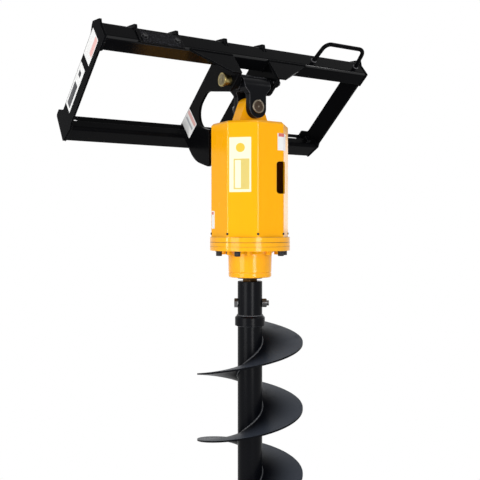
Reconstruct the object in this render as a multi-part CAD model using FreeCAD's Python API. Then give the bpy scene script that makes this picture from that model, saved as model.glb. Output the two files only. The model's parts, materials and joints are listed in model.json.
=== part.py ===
import FreeCAD, Part
import math
import os

# Earth auger drive on a skid-steer coupler frame. Lengths in millimetres, angles in degrees.
# X runs along the frame's width, Y to the rear (towards the machine), Z up.
# The frame is drawn upright and then tilted forward; everything that hangs from it is drawn
# below the upper hitch pin. The origin is the middle of the top hook's inner face.

os.makedirs("parts", exist_ok=True)
Vec = FreeCAD.Vector
X_AXIS, Y_AXIS, Z_AXIS = Vec(1, 0, 0), Vec(0, 1, 0), Vec(0, 0, 1)

# ---- Fits ----
RUN_FIT = 0.05              # radial clearance of a shaft that turns in a bore
SIDE_GAP = 2.0              # free space beside a lug that swings between two cheeks
BOLT_FIT = 0.5              # radial clearance of a bolt in its hole

# ---- Coupler frame ----
FRAME_TILT = 50.0           # forward tilt at which the auger hangs plumb
FRAME_WIDTH = 1130.0
FRAME_HEIGHT = 486.0
RAIL_SHEET = 8.0
RAIL_BEND = 3.0             # inside bend radius of both rails
RAIL_FACE = 54.0            # height of the top rail's front face
RAIL_TOP = 72.0             # depth of its top strip
LIP_LENGTH = 54.0
LIP_ANGLE = 45.0
BEARING_BACK = 76.0         # plane of the machine's plate, behind the top fold
SHELF_DEPTH = 40.0
BOTTOM_FACE = 82.0          # height of the bottom rail's front face
BOTTOM_RAKE = 17.0
LEDGE_DEPTH = 116.0
LEDGE_RISE = 15.0
SLOT_INSET = 50.5           # machine's lock pin to the frame's side
SLOT_LENGTH = 60.0
SLOT_WIDTH = 26.0
SLOT_BACK = 32.0            # slot centre behind the bearing plane

SIDE_SHEET = 8.0
BAR_FRONT = 8.0             # front and rear edges of the side plate's bar
BAR_REAR = 100.0
END_OVERHANG = 6.0          # side plate beyond the rails' edges
EAR_HEIGHT = 11.0           # ears that stand over the hook lip
EAR_FOOT = 16.0             # start of an ear in front of the strip's rear bend

# ---- Hitch plates, wings and hook ribs ----
HITCH_SPACING = 166.0       # between the two plates' mid planes
HITCH_SHEET = 12.0
PIN_FORWARD = 64.0          # upper pin in front of the top fold
PIN_DROP = 64.6             # upper pin below the top fold
TAB_FRONT = 97.0            # front edge of the plate's upper tab
TAB_DEPTH = 172.0           # where the tab's lower edge runs into the spine
TAB_ROUND = 30.0
TAB_NOSE = 22.4             # pin centre to the bottom corner of the tab's front edge
SPINE_NECK = 27.0           # inner edge of the spine, behind the top fold
NECK_ROUND = 40.0
POCKET_RADIUS = 62.0
POCKET_LIFT = 118.0         # pocket's lower corner and arm's bottom above the frame's lower edge
ARM_LIFT = 58.0
ARM_ROUND = 150.0
ARM_KNEE = 108.0            # where the arm's bottom edge starts to rise
BUMPER_GAP = 10.0           # hanging drive to the arms
BUMPER_START = 159.0        # bumper edge, measured down the drive's axis from the pin
BUMPER_END = 298.0
HOOK_RELIEF = 6.0           # plate's corner to the hook's inner face
WING_SHEET = 8.0
WING_DROP = 1.0
WING_DEPTH = 95.0
WING_REACH = 251.0
WING_TIP = 115.0

# ---- Step tread and grab handle ----
TREAD_INSET = 124.0         # tread to the frame's left side
TREAD_LENGTH = 165.0
TREAD_SHEET = 5.0
TREAD_FRONT = 10.0          # tread in front of the top fold
TREAD_BACK = 58.0
TREAD_TAB = 10.0
TREAD_BOLT_INSET = 22.0
TREAD_BOLT_BACK = 21.0
TREAD_BOLT = 12.0
HANDLE_ROD = 16.0
HANDLE_INSET = 46.0         # handle's right foot to the frame's right side
HANDLE_FOOT_SPAN = 214.0
HANDLE_TOP_SPAN = 192.0
HANDLE_HEIGHT = 85.0
HANDLE_BEND = 30.0
HANDLE_BACK = 38.0
LATCH_BLOCK = (18.0, 26.0, 16.0)
LATCH_BLOCK_INSET = 40.0    # block to the right side plate

# ---- Hitch knuckle, below the upper pin ----
UPPER_PIN = 38.0
PIN_STANDOFF = 24.0         # head left of the left hitch plate
PIN_HEAD = 50.0
PIN_HEAD_THICK = 8.0
PIN_TAIL = 12.0
KEEPER_SHEET = 6.0
KEEPER_WIDTH = 30.0
KEEPER_REACH = 36.0         # pin centre to the keeper's bolt
KEEPER_ANGLE = 55.0         # keeper above the horizontal, towards the front
KEEPER_BOLT = 12.0
TUBE_OUTER = 54.0
TUBE_LENGTH = 111.0
BOSS_OUTER = 54.0
BOSS_GAP = 0.5
EAR_SHEET = 25.0
EAR_GAP = 54.0
EAR_WIDTH = 70.0
EAR_FOOT_DROP = 40.0        # ear below the lower pin's centre
EAR_NECK = 46.0             # ear as wide as the tube from here up, below the upper pin's centre
EAR_FLARE = 22.0
EAR_TOP = 18.0              # ear above the upper pin's centre
EAR_ROUND = 40.0            # shoulder that curves back over the tube
EAR_CROTCH = 34.0           # ears meet below the tube, under the upper pin's centre
PIN_TO_PIN = 92.0
LOWER_PIN = 38.0
LOWER_HEAD = 50.0
LOWER_HEAD_THICK = 5.0
LOWER_THREAD = 26.0
NUT_FLATS = 55.0

# ---- Drive housing, below the upper pin ----
COVER_FLATS = 262.0
COVER_BEND = 10.0           # outer radius of its folded edges
COVER_TOP = 151.0
COVER_HEIGHT = 405.0
COVER_WALL = 6.0
COVER_ROOF = 12.0
COVER_BEVEL = 8.0
LUG_RADIUS = 40.0
LUG_FLANK = 21.0            # slope of the lug's sides from plumb
WINDOW_DROP = 196.0         # window's middle below the cover's top
WINDOW_HEIGHT = 113.0
WINDOW_WIDTH = 56.0
WINDOW_CORNER = 12.0
WINDOW_ANGLE = -67.5        # the cover's front right edge
FLANGE_OUTER = 288.0
COVER_FLANGE = 18.0
UPSTAND = 22.0
UPSTAND_WALL = 10.0
RING_BAND = 15.0
RING_BODY = 230.0
NOSE_FLANGE = 15.0
NOSE_OUTER = 158.0
NOSE_ROOT = 12.0            # fillet cone under the flange
NOSE_END = 150.0
NOSE_LENGTH = 96.0          # below its flange
NOSE_GROOVE = 2.0
NOSE_GROOVE_UP = 16.0
NOSE_GROOVE_WIDTH = 4.0
SCREW_CIRCLE = 252.0
SCREW_PAIRS = 3
SCREW_STEP = 40.0           # between the two screws of a pair
SCREW_SIZE = 14.0
SCREW_HEAD = 18.0           # height of a head
SCREW_PHASE = 176.0         # first screw

# ---- Planetary stage ----
PLANET_COUNT = 3
SUN_TEETH = 4 * PLANET_COUNT
PLANET_TEETH = 6 * PLANET_COUNT
RING_TEETH = SUN_TEETH + 2 * PLANET_TEETH
RING_PITCH = 192.0
PRESSURE_ANGLE = 20.0
ADDENDUM = 0.8              # stub teeth, in modules
DEDENDUM = 1.05
BACKLASH = 0.12
RING_HEIGHT = 60.0
PLANET_FACE = 32.0
STAGE_GAP = 2.0             # free space above and below the planets
PLANET_PIN = 26.0
CARRIER_SHEET = 18.0
CARRIER_OUTER = 172.0

# ---- Motor, bearings and output shaft ----
MOTOR_PLATE = 20.0
MOTOR_SHAFT = 26.0
SHAFT_ENTRY = 12.0          # sun shaft inside the motor
MOTOR_FLANGE = 106.0
MOTOR_FLANGE_THICK = 14.0
MOTOR_BODY = 102.0
MOTOR_NECK = 4.0            # body above the port block
MOTOR_CAP = 18.0
MOTOR_CAP_OUTER = 108.0
PORT_BLOCK_WIDTH = 52.0
PORT_BLOCK_HEIGHT = 96.0
PORT_BLOCK_REACH = 78.0
PORT_SPACING = 46.0
PORT_BORE = 18.6
PORT_DEPTH = 18.0
BEARING_WIDE = 30.0
BEARING_GAP = 7.0           # nose flange to the upper bearing
UPPER_JOURNAL = 70.0
UPPER_BEARING = 120.0
LOWER_JOURNAL = 60.0
LOWER_BEARING = 94.0
BEARING_SPREAD = 55.0
SEAL_OUTER = 89.0
SEAL_DEPTH = 19.0
SEAL_SHOW = 5.0
HEX_FLATS = 50.8

# ---- Auger ----
AUGER_PHASE = -33.0         # direction of the hub bolt
AUGER_LENGTH = 1219.0
HUB_TOP_GAP = 15.0          # nose to hub
HUB_OUTER = 88.9
HUB_LENGTH = 135.0
HUB_BOLT_DROP = 79.0
SHAFT_SHORT = 22.0          # hub socket left empty below the shaft
HUB_BOLT = 20.0
BOLT_HEAD = 30.0
BOLT_HEAD_THICK = 13.0
BOLT_TAIL = 8.0
COLLAR_DROP = 123.0
COLLAR_HEIGHT = 36.0
COLLAR_OUTER = 108.0
COLLAR_BEVEL = 7.0
CORE_OUTER = 88.9
CORE_WALL = 6.0
FLIGHT_OUTER = 381.0
FLIGHT_SHEET = 6.0
FLIGHT_TURNS = 4
FLIGHT_STEPS = 24           # helix points in a turn
FLIGHT_START = 81.0         # upper end of the flight, from the hub bolt
FLIGHT_DROP = 3.0           # below the collar
POINT_LENGTH = 113.0        # flight's lower end to the tip
BOARD_SHEET = 14.0
BOARD_HEIGHT = 55.0
BOARD_RAKE = 38.0           # cutter board forward of plumb
TOOTH_COUNT = 3
TOOTH_WIDTH = 32.0
TOOTH_THICK = 14.0
TOOTH_SEAT = 42.0
TOOTH_REACH = 38.0
HOLDER_HEIGHT = 34.0
HOLDER_LIP = 6.0            # holder's lower face beyond the bit's shank
PILOT_SHANK = 38.0
PILOT_SOCKET = 20.0
PILOT_BLADE = 74.0
PILOT_SHEET = 12.0
PILOT_SHOW = 12.0           # shank between the holder and the blade
PILOT_CHEEK = 32.0          # height of the blade's outer edges
PILOT_NOTCH = 24.0          # blade's top to the root of its centre point
PILOT_POINT = 24.0          # width of the centre point at its root
PILOT_TAPER = 4.0

# ---- Levels worked out from the sizes above, all below the upper pin ----
LOWER_PIN_Z = -PIN_TO_PIN
COVER_TOP_Z = -COVER_TOP
FLANGE_Z = COVER_TOP_Z - COVER_HEIGHT
BAND_Z = FLANGE_Z - COVER_FLANGE
NOSE_Z = BAND_Z - RING_BAND
NOSE_BODY_Z = NOSE_Z - NOSE_FLANGE
NOSE_END_Z = NOSE_BODY_Z - NOSE_LENGTH
RING_TOP_Z = NOSE_Z + RING_HEIGHT
PLANET_TOP_Z = RING_TOP_Z - STAGE_GAP
PLANET_END_Z = PLANET_TOP_Z - PLANET_FACE
CARRIER_Z = PLANET_END_Z - STAGE_GAP
MOTOR_Z = RING_TOP_Z + MOTOR_PLATE
WINDOW_Z = COVER_TOP_Z - WINDOW_DROP
MOTOR_TOP_Z = WINDOW_Z + PORT_BLOCK_HEIGHT / 2 + MOTOR_NECK
UPPER_BEARING_Z = NOSE_Z - BEARING_GAP
LOWER_BEARING_Z = UPPER_BEARING_Z - BEARING_SPREAD
SEAL_Z = NOSE_END_Z + SEAL_DEPTH
HUB_Z = NOSE_END_Z - HUB_TOP_GAP
COLLAR_Z = HUB_Z - COLLAR_DROP
CORE_Z = HUB_Z - HUB_LENGTH
FLIGHT_Z = COLLAR_Z - COLLAR_HEIGHT - FLIGHT_DROP
TIP_Z = HUB_Z - AUGER_LENGTH
BOARD_Z = TIP_Z + POINT_LENGTH
FLIGHT_PITCH = (FLIGHT_Z - BOARD_Z) / FLIGHT_TURNS
CORE_END_Z = BOARD_Z - BOARD_SHEET

MODULE = RING_PITCH / RING_TEETH
PLANET_ORBIT = MODULE * (SUN_TEETH + PLANET_TEETH) / 2
HITCH_X = HITCH_SPACING / 2
HITCH_INNER = HITCH_X - HITCH_SHEET / 2
HITCH_OUTER = HITCH_X + HITCH_SHEET / 2
SIDE_INNER = FRAME_WIDTH / 2 - SIDE_SHEET
SLOT_X = FRAME_WIDTH / 2 - SLOT_INSET
TREAD_LEFT = TREAD_INSET - FRAME_WIDTH / 2
HANDLE_LEFT = FRAME_WIDTH / 2 - HANDLE_INSET - HANDLE_FOOT_SPAN

PLANES = {
    "yz": (lambda a, b: Vec(0, a, b), X_AXIS),
    "xz": (lambda a, b: Vec(a, 0, b), Y_AXIS),
    "xy": (lambda a, b: Vec(a, b, 0), Z_AXIS),
}


# ---- Shape helpers ----
def rounded_wire(points, plane):
    # Closed wire through (a, b) or (a, b, radius) corners, each rounded by its radius.
    to_space = PLANES[plane][0]
    corners = [to_space(point[0], point[1]) for point in points]
    radii = [point[2] if len(point) > 2 else 0 for point in points]
    stops = []
    for index, corner in enumerate(corners):
        before = (corners[index - 1] - corner).normalize()
        after = (corners[(index + 1) % len(corners)] - corner).normalize()
        radius = radii[index]
        if radius == 0:
            stops.append((corner, corner, corner))
            continue
        half = before.getAngle(after) / 2
        setback = radius / math.tan(half)
        middle = (before + after).normalize() * (radius / math.sin(half) - radius)
        stops.append((corner + before * setback, corner + middle, corner + after * setback))
    edges = []
    for index, (start, middle, end) in enumerate(stops):
        if radii[index] > 0:
            edges.append(Part.Arc(start, middle, end).toShape())
        following = stops[(index + 1) % len(stops)][0]
        if (following - end).Length > 1e-6:
            edges.append(Part.LineSegment(end, following).toShape())
    return Part.Wire(edges)


def plate(points, plane, start, thickness):
    # Flat plate with a rounded outline, from start along the plane's normal.
    normal = PLANES[plane][1]
    face = Part.Face(rounded_wire(points, plane))
    face.translate(normal * start)
    return face.extrude(normal * thickness)


def offset_path(path, distance):
    # Moves an open path of (y, z) points to its right-hand side, with mitred corners.
    normals = []
    for (y0, z0), (y1, z1) in zip(path, path[1:]):
        length = math.hypot(y1 - y0, z1 - z0)
        normals.append(((z1 - z0) / length, -(y1 - y0) / length))
    moved = []
    for index, (y, z) in enumerate(path):
        a = normals[max(index - 1, 0)]
        b = normals[min(index, len(normals) - 1)]
        scale = distance / (1 + a[0] * b[0] + a[1] * b[1])
        moved.append((y + (a[0] + b[0]) * scale, z + (a[1] + b[1]) * scale))
    return moved


def bent_rail(path, half_length):
    # Bent plate along X: path is its outer face, the sheet lies to the path's right.
    last = len(path) - 1
    outer, inner = [], []
    for index, (y, z) in enumerate(path):
        outer.append((y, z, 0 if index in (0, last) else RAIL_BEND + RAIL_SHEET))
    for index, (y, z) in enumerate(offset_path(path, RAIL_SHEET)):
        inner.append((y, z, 0 if index in (0, last) else RAIL_BEND))
    return plate(outer + inner[::-1], "yz", -half_length, 2 * half_length)


def rod(radius, low, high, axis=Z_AXIS, centre=Vec(0, 0, 0)):
    # Cylinder from low to high along an axis through centre.
    return Part.makeCylinder(radius, high - low, centre + axis * low, axis)


def tube(outer, inner, low, high, axis=Z_AXIS, centre=Vec(0, 0, 0)):
    return rod(outer, low, high, axis, centre).cut(rod(inner, low, high, axis, centre))


def turned(points):
    # Solid of revolution about Z from (radius, z) points.
    wire = Part.makePolygon([Vec(r, 0, z) for r, z in points + points[:1]])
    return Part.Face(wire).revolve(Vec(0, 0, 0), Z_AXIS, 360)


def prism(count, flats, low, high, turn=0.0, axis=Z_AXIS, centre=Vec(0, 0, 0)):
    # Regular prism with the given width across flats; turn=0 puts a flat across the first side axis.
    radius = flats / 2 / math.cos(math.pi / count)
    angles = [math.radians(turn) + (index + 0.5) * 2 * math.pi / count for index in range(count)]
    points = [Vec(radius * math.cos(a), radius * math.sin(a), low) for a in angles]
    solid = Part.Face(Part.makePolygon(points + points[:1])).extrude(Z_AXIS * (high - low))
    solid.Placement = FreeCAD.Placement(centre, FreeCAD.Rotation(Z_AXIS, axis))
    return solid


def octagon(flats, bend, low, high):
    # Eight-sided prism with folded edges and a flat across each side axis.
    corner = flats / 2 / math.cos(math.pi / 8)
    spots = [polar(corner, 22.5 + index * 45) for index in range(8)]
    return plate([(spot.x, spot.y, bend) for spot in spots], "xy", low, high - low)


def spun(shape, angle, centre=Vec(0, 0, 0), axis=Z_AXIS):
    copy = shape.copy()
    copy.rotate(centre, axis, angle)
    return copy


def mirrored(shape):
    return shape.mirror(Vec(0, 0, 0), X_AXIS)


def joined(shapes):
    first, *rest = shapes
    return first.fuse(rest).removeSplitter()


def polar(radius, angle, z=0.0):
    return Vec(radius * math.cos(math.radians(angle)), radius * math.sin(math.radians(angle)), z)


# ---- Coupler frame, upright ----
LIP_COS = math.cos(math.radians(LIP_ANGLE))
LIP_SIN = math.sin(math.radians(LIP_ANGLE))
LIP_END = (RAIL_TOP + LIP_LENGTH * LIP_COS, -LIP_LENGTH * LIP_SIN)
TOP_PATH = [(0, -RAIL_FACE), (0, 0), (RAIL_TOP, 0), LIP_END]
BOTTOM_TOP_Z = BOTTOM_FACE - FRAME_HEIGHT
LEDGE_END = (BOTTOM_RAKE + LEDGE_DEPTH, LEDGE_RISE - FRAME_HEIGHT)
PIN_UPRIGHT = Vec(0, -PIN_FORWARD, -PIN_DROP)
HOOK_MIDDLE = Vec(
    0,
    RAIL_TOP + LIP_LENGTH / 2 * LIP_COS - RAIL_SHEET * LIP_SIN,
    -LIP_LENGTH / 2 * LIP_SIN - RAIL_SHEET * LIP_COS,
)
TILT = FreeCAD.Rotation(X_AXIS, FRAME_TILT)
FRAME_PLACE = FreeCAD.Placement(TILT.multVec(HOOK_MIDDLE) * -1, TILT)
PIN_PLACE = FreeCAD.Placement(TILT.multVec(PIN_UPRIGHT - HOOK_MIDDLE), FreeCAD.Rotation())


def ear_outline():
    # Ear that stands over the strip's rear bend and the hook lip.
    rise = EAR_HEIGHT * LIP_SIN
    return [
        (RAIL_TOP - EAR_FOOT, 0),
        (RAIL_TOP + rise - 2, EAR_HEIGHT, 2),
        (LIP_END[0] + rise, LIP_END[1] + rise, 3),
    ]


def ear_plate(start, thickness, top_rail):
    # Ear on its own, seated on the rail's outer face.
    middle = offset_path(TOP_PATH, RAIL_SHEET / 2)
    outline = ear_outline() + [middle[3], middle[2], (RAIL_TOP - EAR_FOOT, -RAIL_SHEET / 2)]
    return plate(outline, "yz", start, thickness).cut(top_rail)


def make_top_rail():
    rail = bent_rail(TOP_PATH, SIDE_INNER)
    for left in (TREAD_LEFT + TREAD_BOLT_INSET, TREAD_LEFT + TREAD_LENGTH - TREAD_BOLT_INSET):
        rail = rail.cut(rod(TREAD_BOLT / 2 + BOLT_FIT, -RAIL_SHEET, 0, centre=Vec(left, TREAD_BOLT_BACK, 0)))
    return rail


def make_bottom_rail():
    path = [LEDGE_END, (BOTTOM_RAKE, -FRAME_HEIGHT), (0, BOTTOM_TOP_Z), (SHELF_DEPTH, BOTTOM_TOP_Z)]
    rail = bent_rail(path, SIDE_INNER)
    slope = math.degrees(math.atan2(LEDGE_RISE, LEDGE_DEPTH))
    slot_y = BEARING_BACK + SLOT_BACK
    slot_z = -FRAME_HEIGHT + (slot_y - BOTTOM_RAKE) * LEDGE_RISE / LEDGE_DEPTH
    half, side = SLOT_LENGTH / 2, SLOT_WIDTH / 2
    corners = [(x, y, side - 0.01) for x, y in ((-half, -side), (half, -side), (half, side), (-half, side))]
    slot = plate(corners, "xy", -RAIL_SHEET, 3 * RAIL_SHEET)
    slot.rotate(Vec(0, 0, 0), X_AXIS, slope)
    for x in (-SLOT_X, SLOT_X):
        rail = rail.cut(slot.translated(Vec(x, slot_y, slot_z)))
    return rail


def make_side_plate():
    # Left plate: one profile that closes both rails and carries the bar between them.
    over = END_OVERHANG
    outline = [(0, 0, 4)] + ear_outline() + [
        (LIP_END[0] + over - 2, LIP_END[1] - over, 3),
        (BAR_REAR, LIP_END[1] - 5 * over, 10),
        (BAR_REAR, BOTTOM_TOP_Z - over, 16),
        (LEDGE_END[0] + over - 2, LEDGE_END[1] + 5 * over, 12),
        (LEDGE_END[0] + over - 2, LEDGE_END[1], 10),
        (BOTTOM_RAKE, -FRAME_HEIGHT, 4),
        (0, BOTTOM_TOP_Z - over, 3),
        (BAR_FRONT, BOTTOM_TOP_Z + 2 * over, 6),
        (BAR_FRONT, -RAIL_FACE - 2 * over, 6),
        (0, -RAIL_FACE - over, 3),
    ]
    return plate(outline, "yz", -FRAME_WIDTH / 2, SIDE_SHEET)


def drive_point(along, across):
    # Upright (y, z) of a point below the pin along the hanging drive's axis and behind it.
    tilt = math.radians(FRAME_TILT)
    y = -PIN_FORWARD - along * math.sin(tilt) + across * math.cos(tilt)
    z = -PIN_DROP - along * math.cos(tilt) - across * math.sin(tilt)
    return y, z


def hook_corner():
    # Upper rear corner of a hitch plate, cut back along the hook's inner face.
    away = RAIL_SHEET + HOOK_RELIEF
    y, z = RAIL_TOP - away * LIP_SIN, -away * LIP_COS
    back = (BEARING_BACK - y) / LIP_COS
    under = (RAIL_SHEET + z) / LIP_SIN
    return [(BEARING_BACK, z - back * LIP_SIN), (y + under * LIP_COS, -RAIL_SHEET)]


def make_hitch_plate(top_rail, bottom_rail, wing):
    # Left plate: tab for the upper pin, spine on the bearing plane, and bumper arm.
    bumper = COVER_FLATS / 2 + BUMPER_GAP
    tab_z = -PIN_DROP - TAB_NOSE
    slope = (TAB_DEPTH + tab_z) / TAB_FRONT
    outline = hook_corner() + [
        (-TAB_FRONT, -RAIL_SHEET, 8),
        (-TAB_FRONT, tab_z, TAB_ROUND),
        (SPINE_NECK, -TAB_DEPTH - SPINE_NECK * slope, NECK_ROUND),
        (SPINE_NECK, POCKET_LIFT - FRAME_HEIGHT, POCKET_RADIUS),
        drive_point(BUMPER_START, bumper) + (8,),
        drive_point(BUMPER_END, bumper) + (10,),
        (-ARM_KNEE, ARM_LIFT - FRAME_HEIGHT, ARM_ROUND),
        (BEARING_BACK, ARM_LIFT - FRAME_HEIGHT, 12),
    ]
    blank = plate(outline, "yz", -HITCH_OUTER, HITCH_SHEET)
    bore = rod(UPPER_PIN / 2, -HITCH_OUTER, -HITCH_INNER, X_AXIS, PIN_UPRIGHT)
    return blank.cut([top_rail, bottom_rail, wing, bore])


def make_wing(top_rail):
    # Left wing: gusset in front of the top rail, over the hitch plate's tab.
    outline = [
        (-WING_REACH, RAIL_SHEET),
        (-HITCH_INNER, RAIL_SHEET),
        (-HITCH_INNER, -WING_DEPTH, 2),
        (-WING_TIP, -WING_DEPTH, 4),
        (-WING_REACH, 0),
    ]
    return plate(outline, "xy", -WING_DROP - WING_SHEET, WING_SHEET).cut(top_rail)


def make_lip_rib(top_rail):
    return ear_plate(-HITCH_OUTER, HITCH_SHEET, top_rail)


def make_tread(top_rail):
    # Step plate with an ear at each end, bolted through the top strip.
    right = TREAD_LEFT + TREAD_LENGTH
    deck = Part.makeBox(TREAD_LENGTH, TREAD_FRONT + TREAD_BACK, TREAD_SHEET, Vec(TREAD_LEFT, -TREAD_FRONT, 0))
    ears = [ear_plate(x, TREAD_TAB, top_rail) for x in (TREAD_LEFT, right - TREAD_TAB)]
    tread = joined([deck] + ears)
    for x in (TREAD_LEFT + TREAD_BOLT_INSET, right - TREAD_BOLT_INSET):
        tread = tread.cut(rod(TREAD_BOLT / 2 + BOLT_FIT, 0, TREAD_SHEET, centre=Vec(x, TREAD_BOLT_BACK, 0)))
    return tread


def make_tread_bolts():
    # Hex bolts with their nuts under the strip.
    bolts = []
    for x in (TREAD_LEFT + TREAD_BOLT_INSET, TREAD_LEFT + TREAD_LENGTH - TREAD_BOLT_INSET):
        spot = Vec(x, TREAD_BOLT_BACK, 0)
        flats = 1.5 * TREAD_BOLT
        head = prism(6, flats, TREAD_SHEET, TREAD_SHEET + 0.6 * TREAD_BOLT, turn=30, centre=spot)
        nut = prism(6, flats, -RAIL_SHEET - 0.8 * TREAD_BOLT, -RAIL_SHEET, turn=30, centre=spot)
        shank = rod(TREAD_BOLT / 2, -RAIL_SHEET - TREAD_BOLT, TREAD_SHEET, centre=spot)
        bolts.append(joined([shank, head, nut]))
    return Part.makeCompound(bolts)


def make_grab_handle(top_rail):
    # Bent rod on the right end of the top strip.
    lean = (HANDLE_FOOT_SPAN - HANDLE_TOP_SPAN) / 2
    left, right = HANDLE_LEFT, HANDLE_LEFT + HANDLE_FOOT_SPAN
    sink = RAIL_SHEET / 2
    slope = lean / HANDLE_HEIGHT
    route = [
        (left - slope * sink, -sink),
        (left + lean, HANDLE_HEIGHT, HANDLE_BEND),
        (right - lean, HANDLE_HEIGHT, HANDLE_BEND),
        (right + slope * sink, -sink),
    ]
    loop = rounded_wire(route, "xz")
    path = Part.Wire([edge for edge in loop.OrderedEdges if edge.CenterOfMass.z > 0])
    path.translate(Vec(0, HANDLE_BACK, 0))
    start = path.OrderedVertexes[0].Point
    along = path.OrderedEdges[0].tangentAt(path.OrderedEdges[0].FirstParameter)
    section = Part.Wire(Part.makeCircle(HANDLE_ROD / 2, start, along))
    return path.makePipeShell([section], True, False).cut(top_rail)


def make_latch_block():
    # Stop block on the bottom rail's shelf, at the right end.
    wide, deep, high = LATCH_BLOCK
    corner = Vec(SIDE_INNER - LATCH_BLOCK_INSET - wide, SHELF_DEPTH - deep, BOTTOM_TOP_Z)
    return Part.makeBox(wide, deep, high, corner)


def make_hitch_boss():
    # Left spacer boss on the hitch plate's inner face.
    start = -HITCH_INNER
    end = -TUBE_LENGTH / 2 - BOSS_GAP
    return tube(BOSS_OUTER / 2, UPPER_PIN / 2, start, end, X_AXIS, PIN_UPRIGHT)


def make_upper_pin():
    head = -HITCH_OUTER - PIN_STANDOFF
    shank = rod(UPPER_PIN / 2, head, HITCH_OUTER + PIN_TAIL, X_AXIS, PIN_UPRIGHT)
    disc = rod(PIN_HEAD / 2, head - PIN_HEAD_THICK, head, X_AXIS, PIN_UPRIGHT)
    tip = max(shank.Edges, key=lambda edge: edge.CenterOfMass.x)
    shank = shank.makeChamfer(2, [tip])
    return joined([shank, disc])


def keeper_spot():
    angle = math.radians(KEEPER_ANGLE)
    return PIN_UPRIGHT + Vec(0, -KEEPER_REACH * math.cos(angle), KEEPER_REACH * math.sin(angle))


def make_pin_keeper():
    # Flat bar round the pin, held to a hitch plate by one bolt; drawn on the left, fitted on the right.
    spot = keeper_spot()
    half = KEEPER_WIDTH / 2
    end = KEEPER_REACH + half
    outline = [(0, -half), (0, half), (end, half, half - 1), (end, -half, half - 1)]
    bar = plate(outline, "yz", 0, KEEPER_SHEET)
    bar.rotate(Vec(0, 0, 0), X_AXIS, 180 - KEEPER_ANGLE)
    start = -HITCH_OUTER - KEEPER_SHEET
    bar.translate(PIN_UPRIGHT + X_AXIS * start)
    ring = rod(UPPER_PIN / 2 + 6, start, -HITCH_OUTER, X_AXIS, PIN_UPRIGHT)
    bores = [
        rod(UPPER_PIN / 2, start, -HITCH_OUTER, X_AXIS, PIN_UPRIGHT),
        rod(KEEPER_BOLT / 2 + BOLT_FIT, start, -HITCH_OUTER, X_AXIS, spot),
    ]
    return joined([bar, ring]).cut(bores)


def make_keeper_bolt():
    spot = keeper_spot()
    face = -HITCH_OUTER - KEEPER_SHEET
    head = prism(6, 1.5 * KEEPER_BOLT, face - 0.6 * KEEPER_BOLT, face, axis=X_AXIS, centre=spot)
    return joined([rod(KEEPER_BOLT / 2, face, -HITCH_INNER, X_AXIS, spot), head])


# ---- Hitch knuckle, below the upper pin ----
def make_knuckle_tube():
    half = TUBE_LENGTH / 2
    return tube(TUBE_OUTER / 2, UPPER_PIN / 2 + RUN_FIT, -half, half, X_AXIS)


def make_ear():
    # Rear half of the yoke: hugs the tube, curves down and is rounded below the lower pin.
    half, crown = EAR_WIDTH / 2, TUBE_LENGTH / 2
    foot = LOWER_PIN_Z - EAR_FOOT_DROP
    face = EAR_GAP / 2 + EAR_SHEET
    front = [
        (-half, foot, half - 0.01),
        (half, foot, half - 0.01),
        (half, -EAR_NECK, EAR_FLARE),
        (crown, EAR_FLARE - EAR_NECK, EAR_FLARE / 2),
        (crown, EAR_TOP),
        (-crown, EAR_TOP),
        (-crown, EAR_FLARE - EAR_NECK, EAR_FLARE / 2),
        (-half, -EAR_NECK, EAR_FLARE),
    ]
    side = [
        (0, EAR_TOP),
        (0, -EAR_CROTCH),
        (EAR_GAP / 2, -EAR_CROTCH, EAR_GAP / 4),
        (EAR_GAP / 2, foot),
        (face, foot),
        (face, EAR_TOP, EAR_ROUND),
    ]
    cheek = plate(front, "xz", 0, face).common(plate(side, "yz", -crown, TUBE_LENGTH))
    bore = rod(LOWER_PIN / 2, 0, face, Y_AXIS, Vec(0, 0, LOWER_PIN_Z))
    return cheek.cut([bore, rod(TUBE_OUTER / 2, -crown, crown, X_AXIS)])


def make_lower_pin():
    reach = EAR_GAP / 2 + EAR_SHEET
    centre = Vec(0, 0, LOWER_PIN_Z)
    shank = rod(LOWER_PIN / 2, -reach, reach, Y_AXIS, centre)
    head = rod(LOWER_HEAD / 2, -reach - LOWER_HEAD_THICK, -reach, Y_AXIS, centre)
    rim = min(head.Edges, key=lambda edge: edge.CenterOfMass.y)
    head = head.makeChamfer(1.5, [rim])
    thread = rod(LOWER_PIN / 2 - 2, reach, reach + LOWER_THREAD, Y_AXIS, centre)
    return joined([shank, head, thread])


def make_lower_nut():
    reach = EAR_GAP / 2 + EAR_SHEET
    centre = Vec(0, 0, LOWER_PIN_Z)
    high = reach + LOWER_THREAD - 4
    nut = prism(6, NUT_FLATS, reach, high, axis=Y_AXIS, centre=centre)
    return nut.cut(rod(LOWER_PIN / 2 - 2, reach, high, Y_AXIS, centre))


# ---- Drive housing ----
def make_cover():
    # Octagonal shell, open below, with a window for the hoses round one edge.
    shell = octagon(COVER_FLATS, COVER_BEND, FLANGE_Z, COVER_TOP_Z)
    rim = [edge for edge in shell.Edges if edge.BoundBox.ZMin > COVER_TOP_Z - 1]
    shell = shell.makeChamfer(COVER_BEVEL, rim)
    roof = COVER_TOP_Z - COVER_ROOF
    room = octagon(COVER_FLATS - 2 * COVER_WALL, COVER_BEND - COVER_WALL, FLANGE_Z, roof)
    half, high = WINDOW_WIDTH / 2, WINDOW_HEIGHT / 2
    outline = [
        (-half, WINDOW_Z - high, WINDOW_CORNER),
        (half, WINDOW_Z - high, WINDOW_CORNER),
        (half, WINDOW_Z + high, WINDOW_CORNER),
        (-half, WINDOW_Z + high, WINDOW_CORNER),
    ]
    window = plate(outline, "xz", -COVER_FLATS, COVER_FLATS)
    return shell.cut([room, spun(window, WINDOW_ANGLE + 90)])


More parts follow.
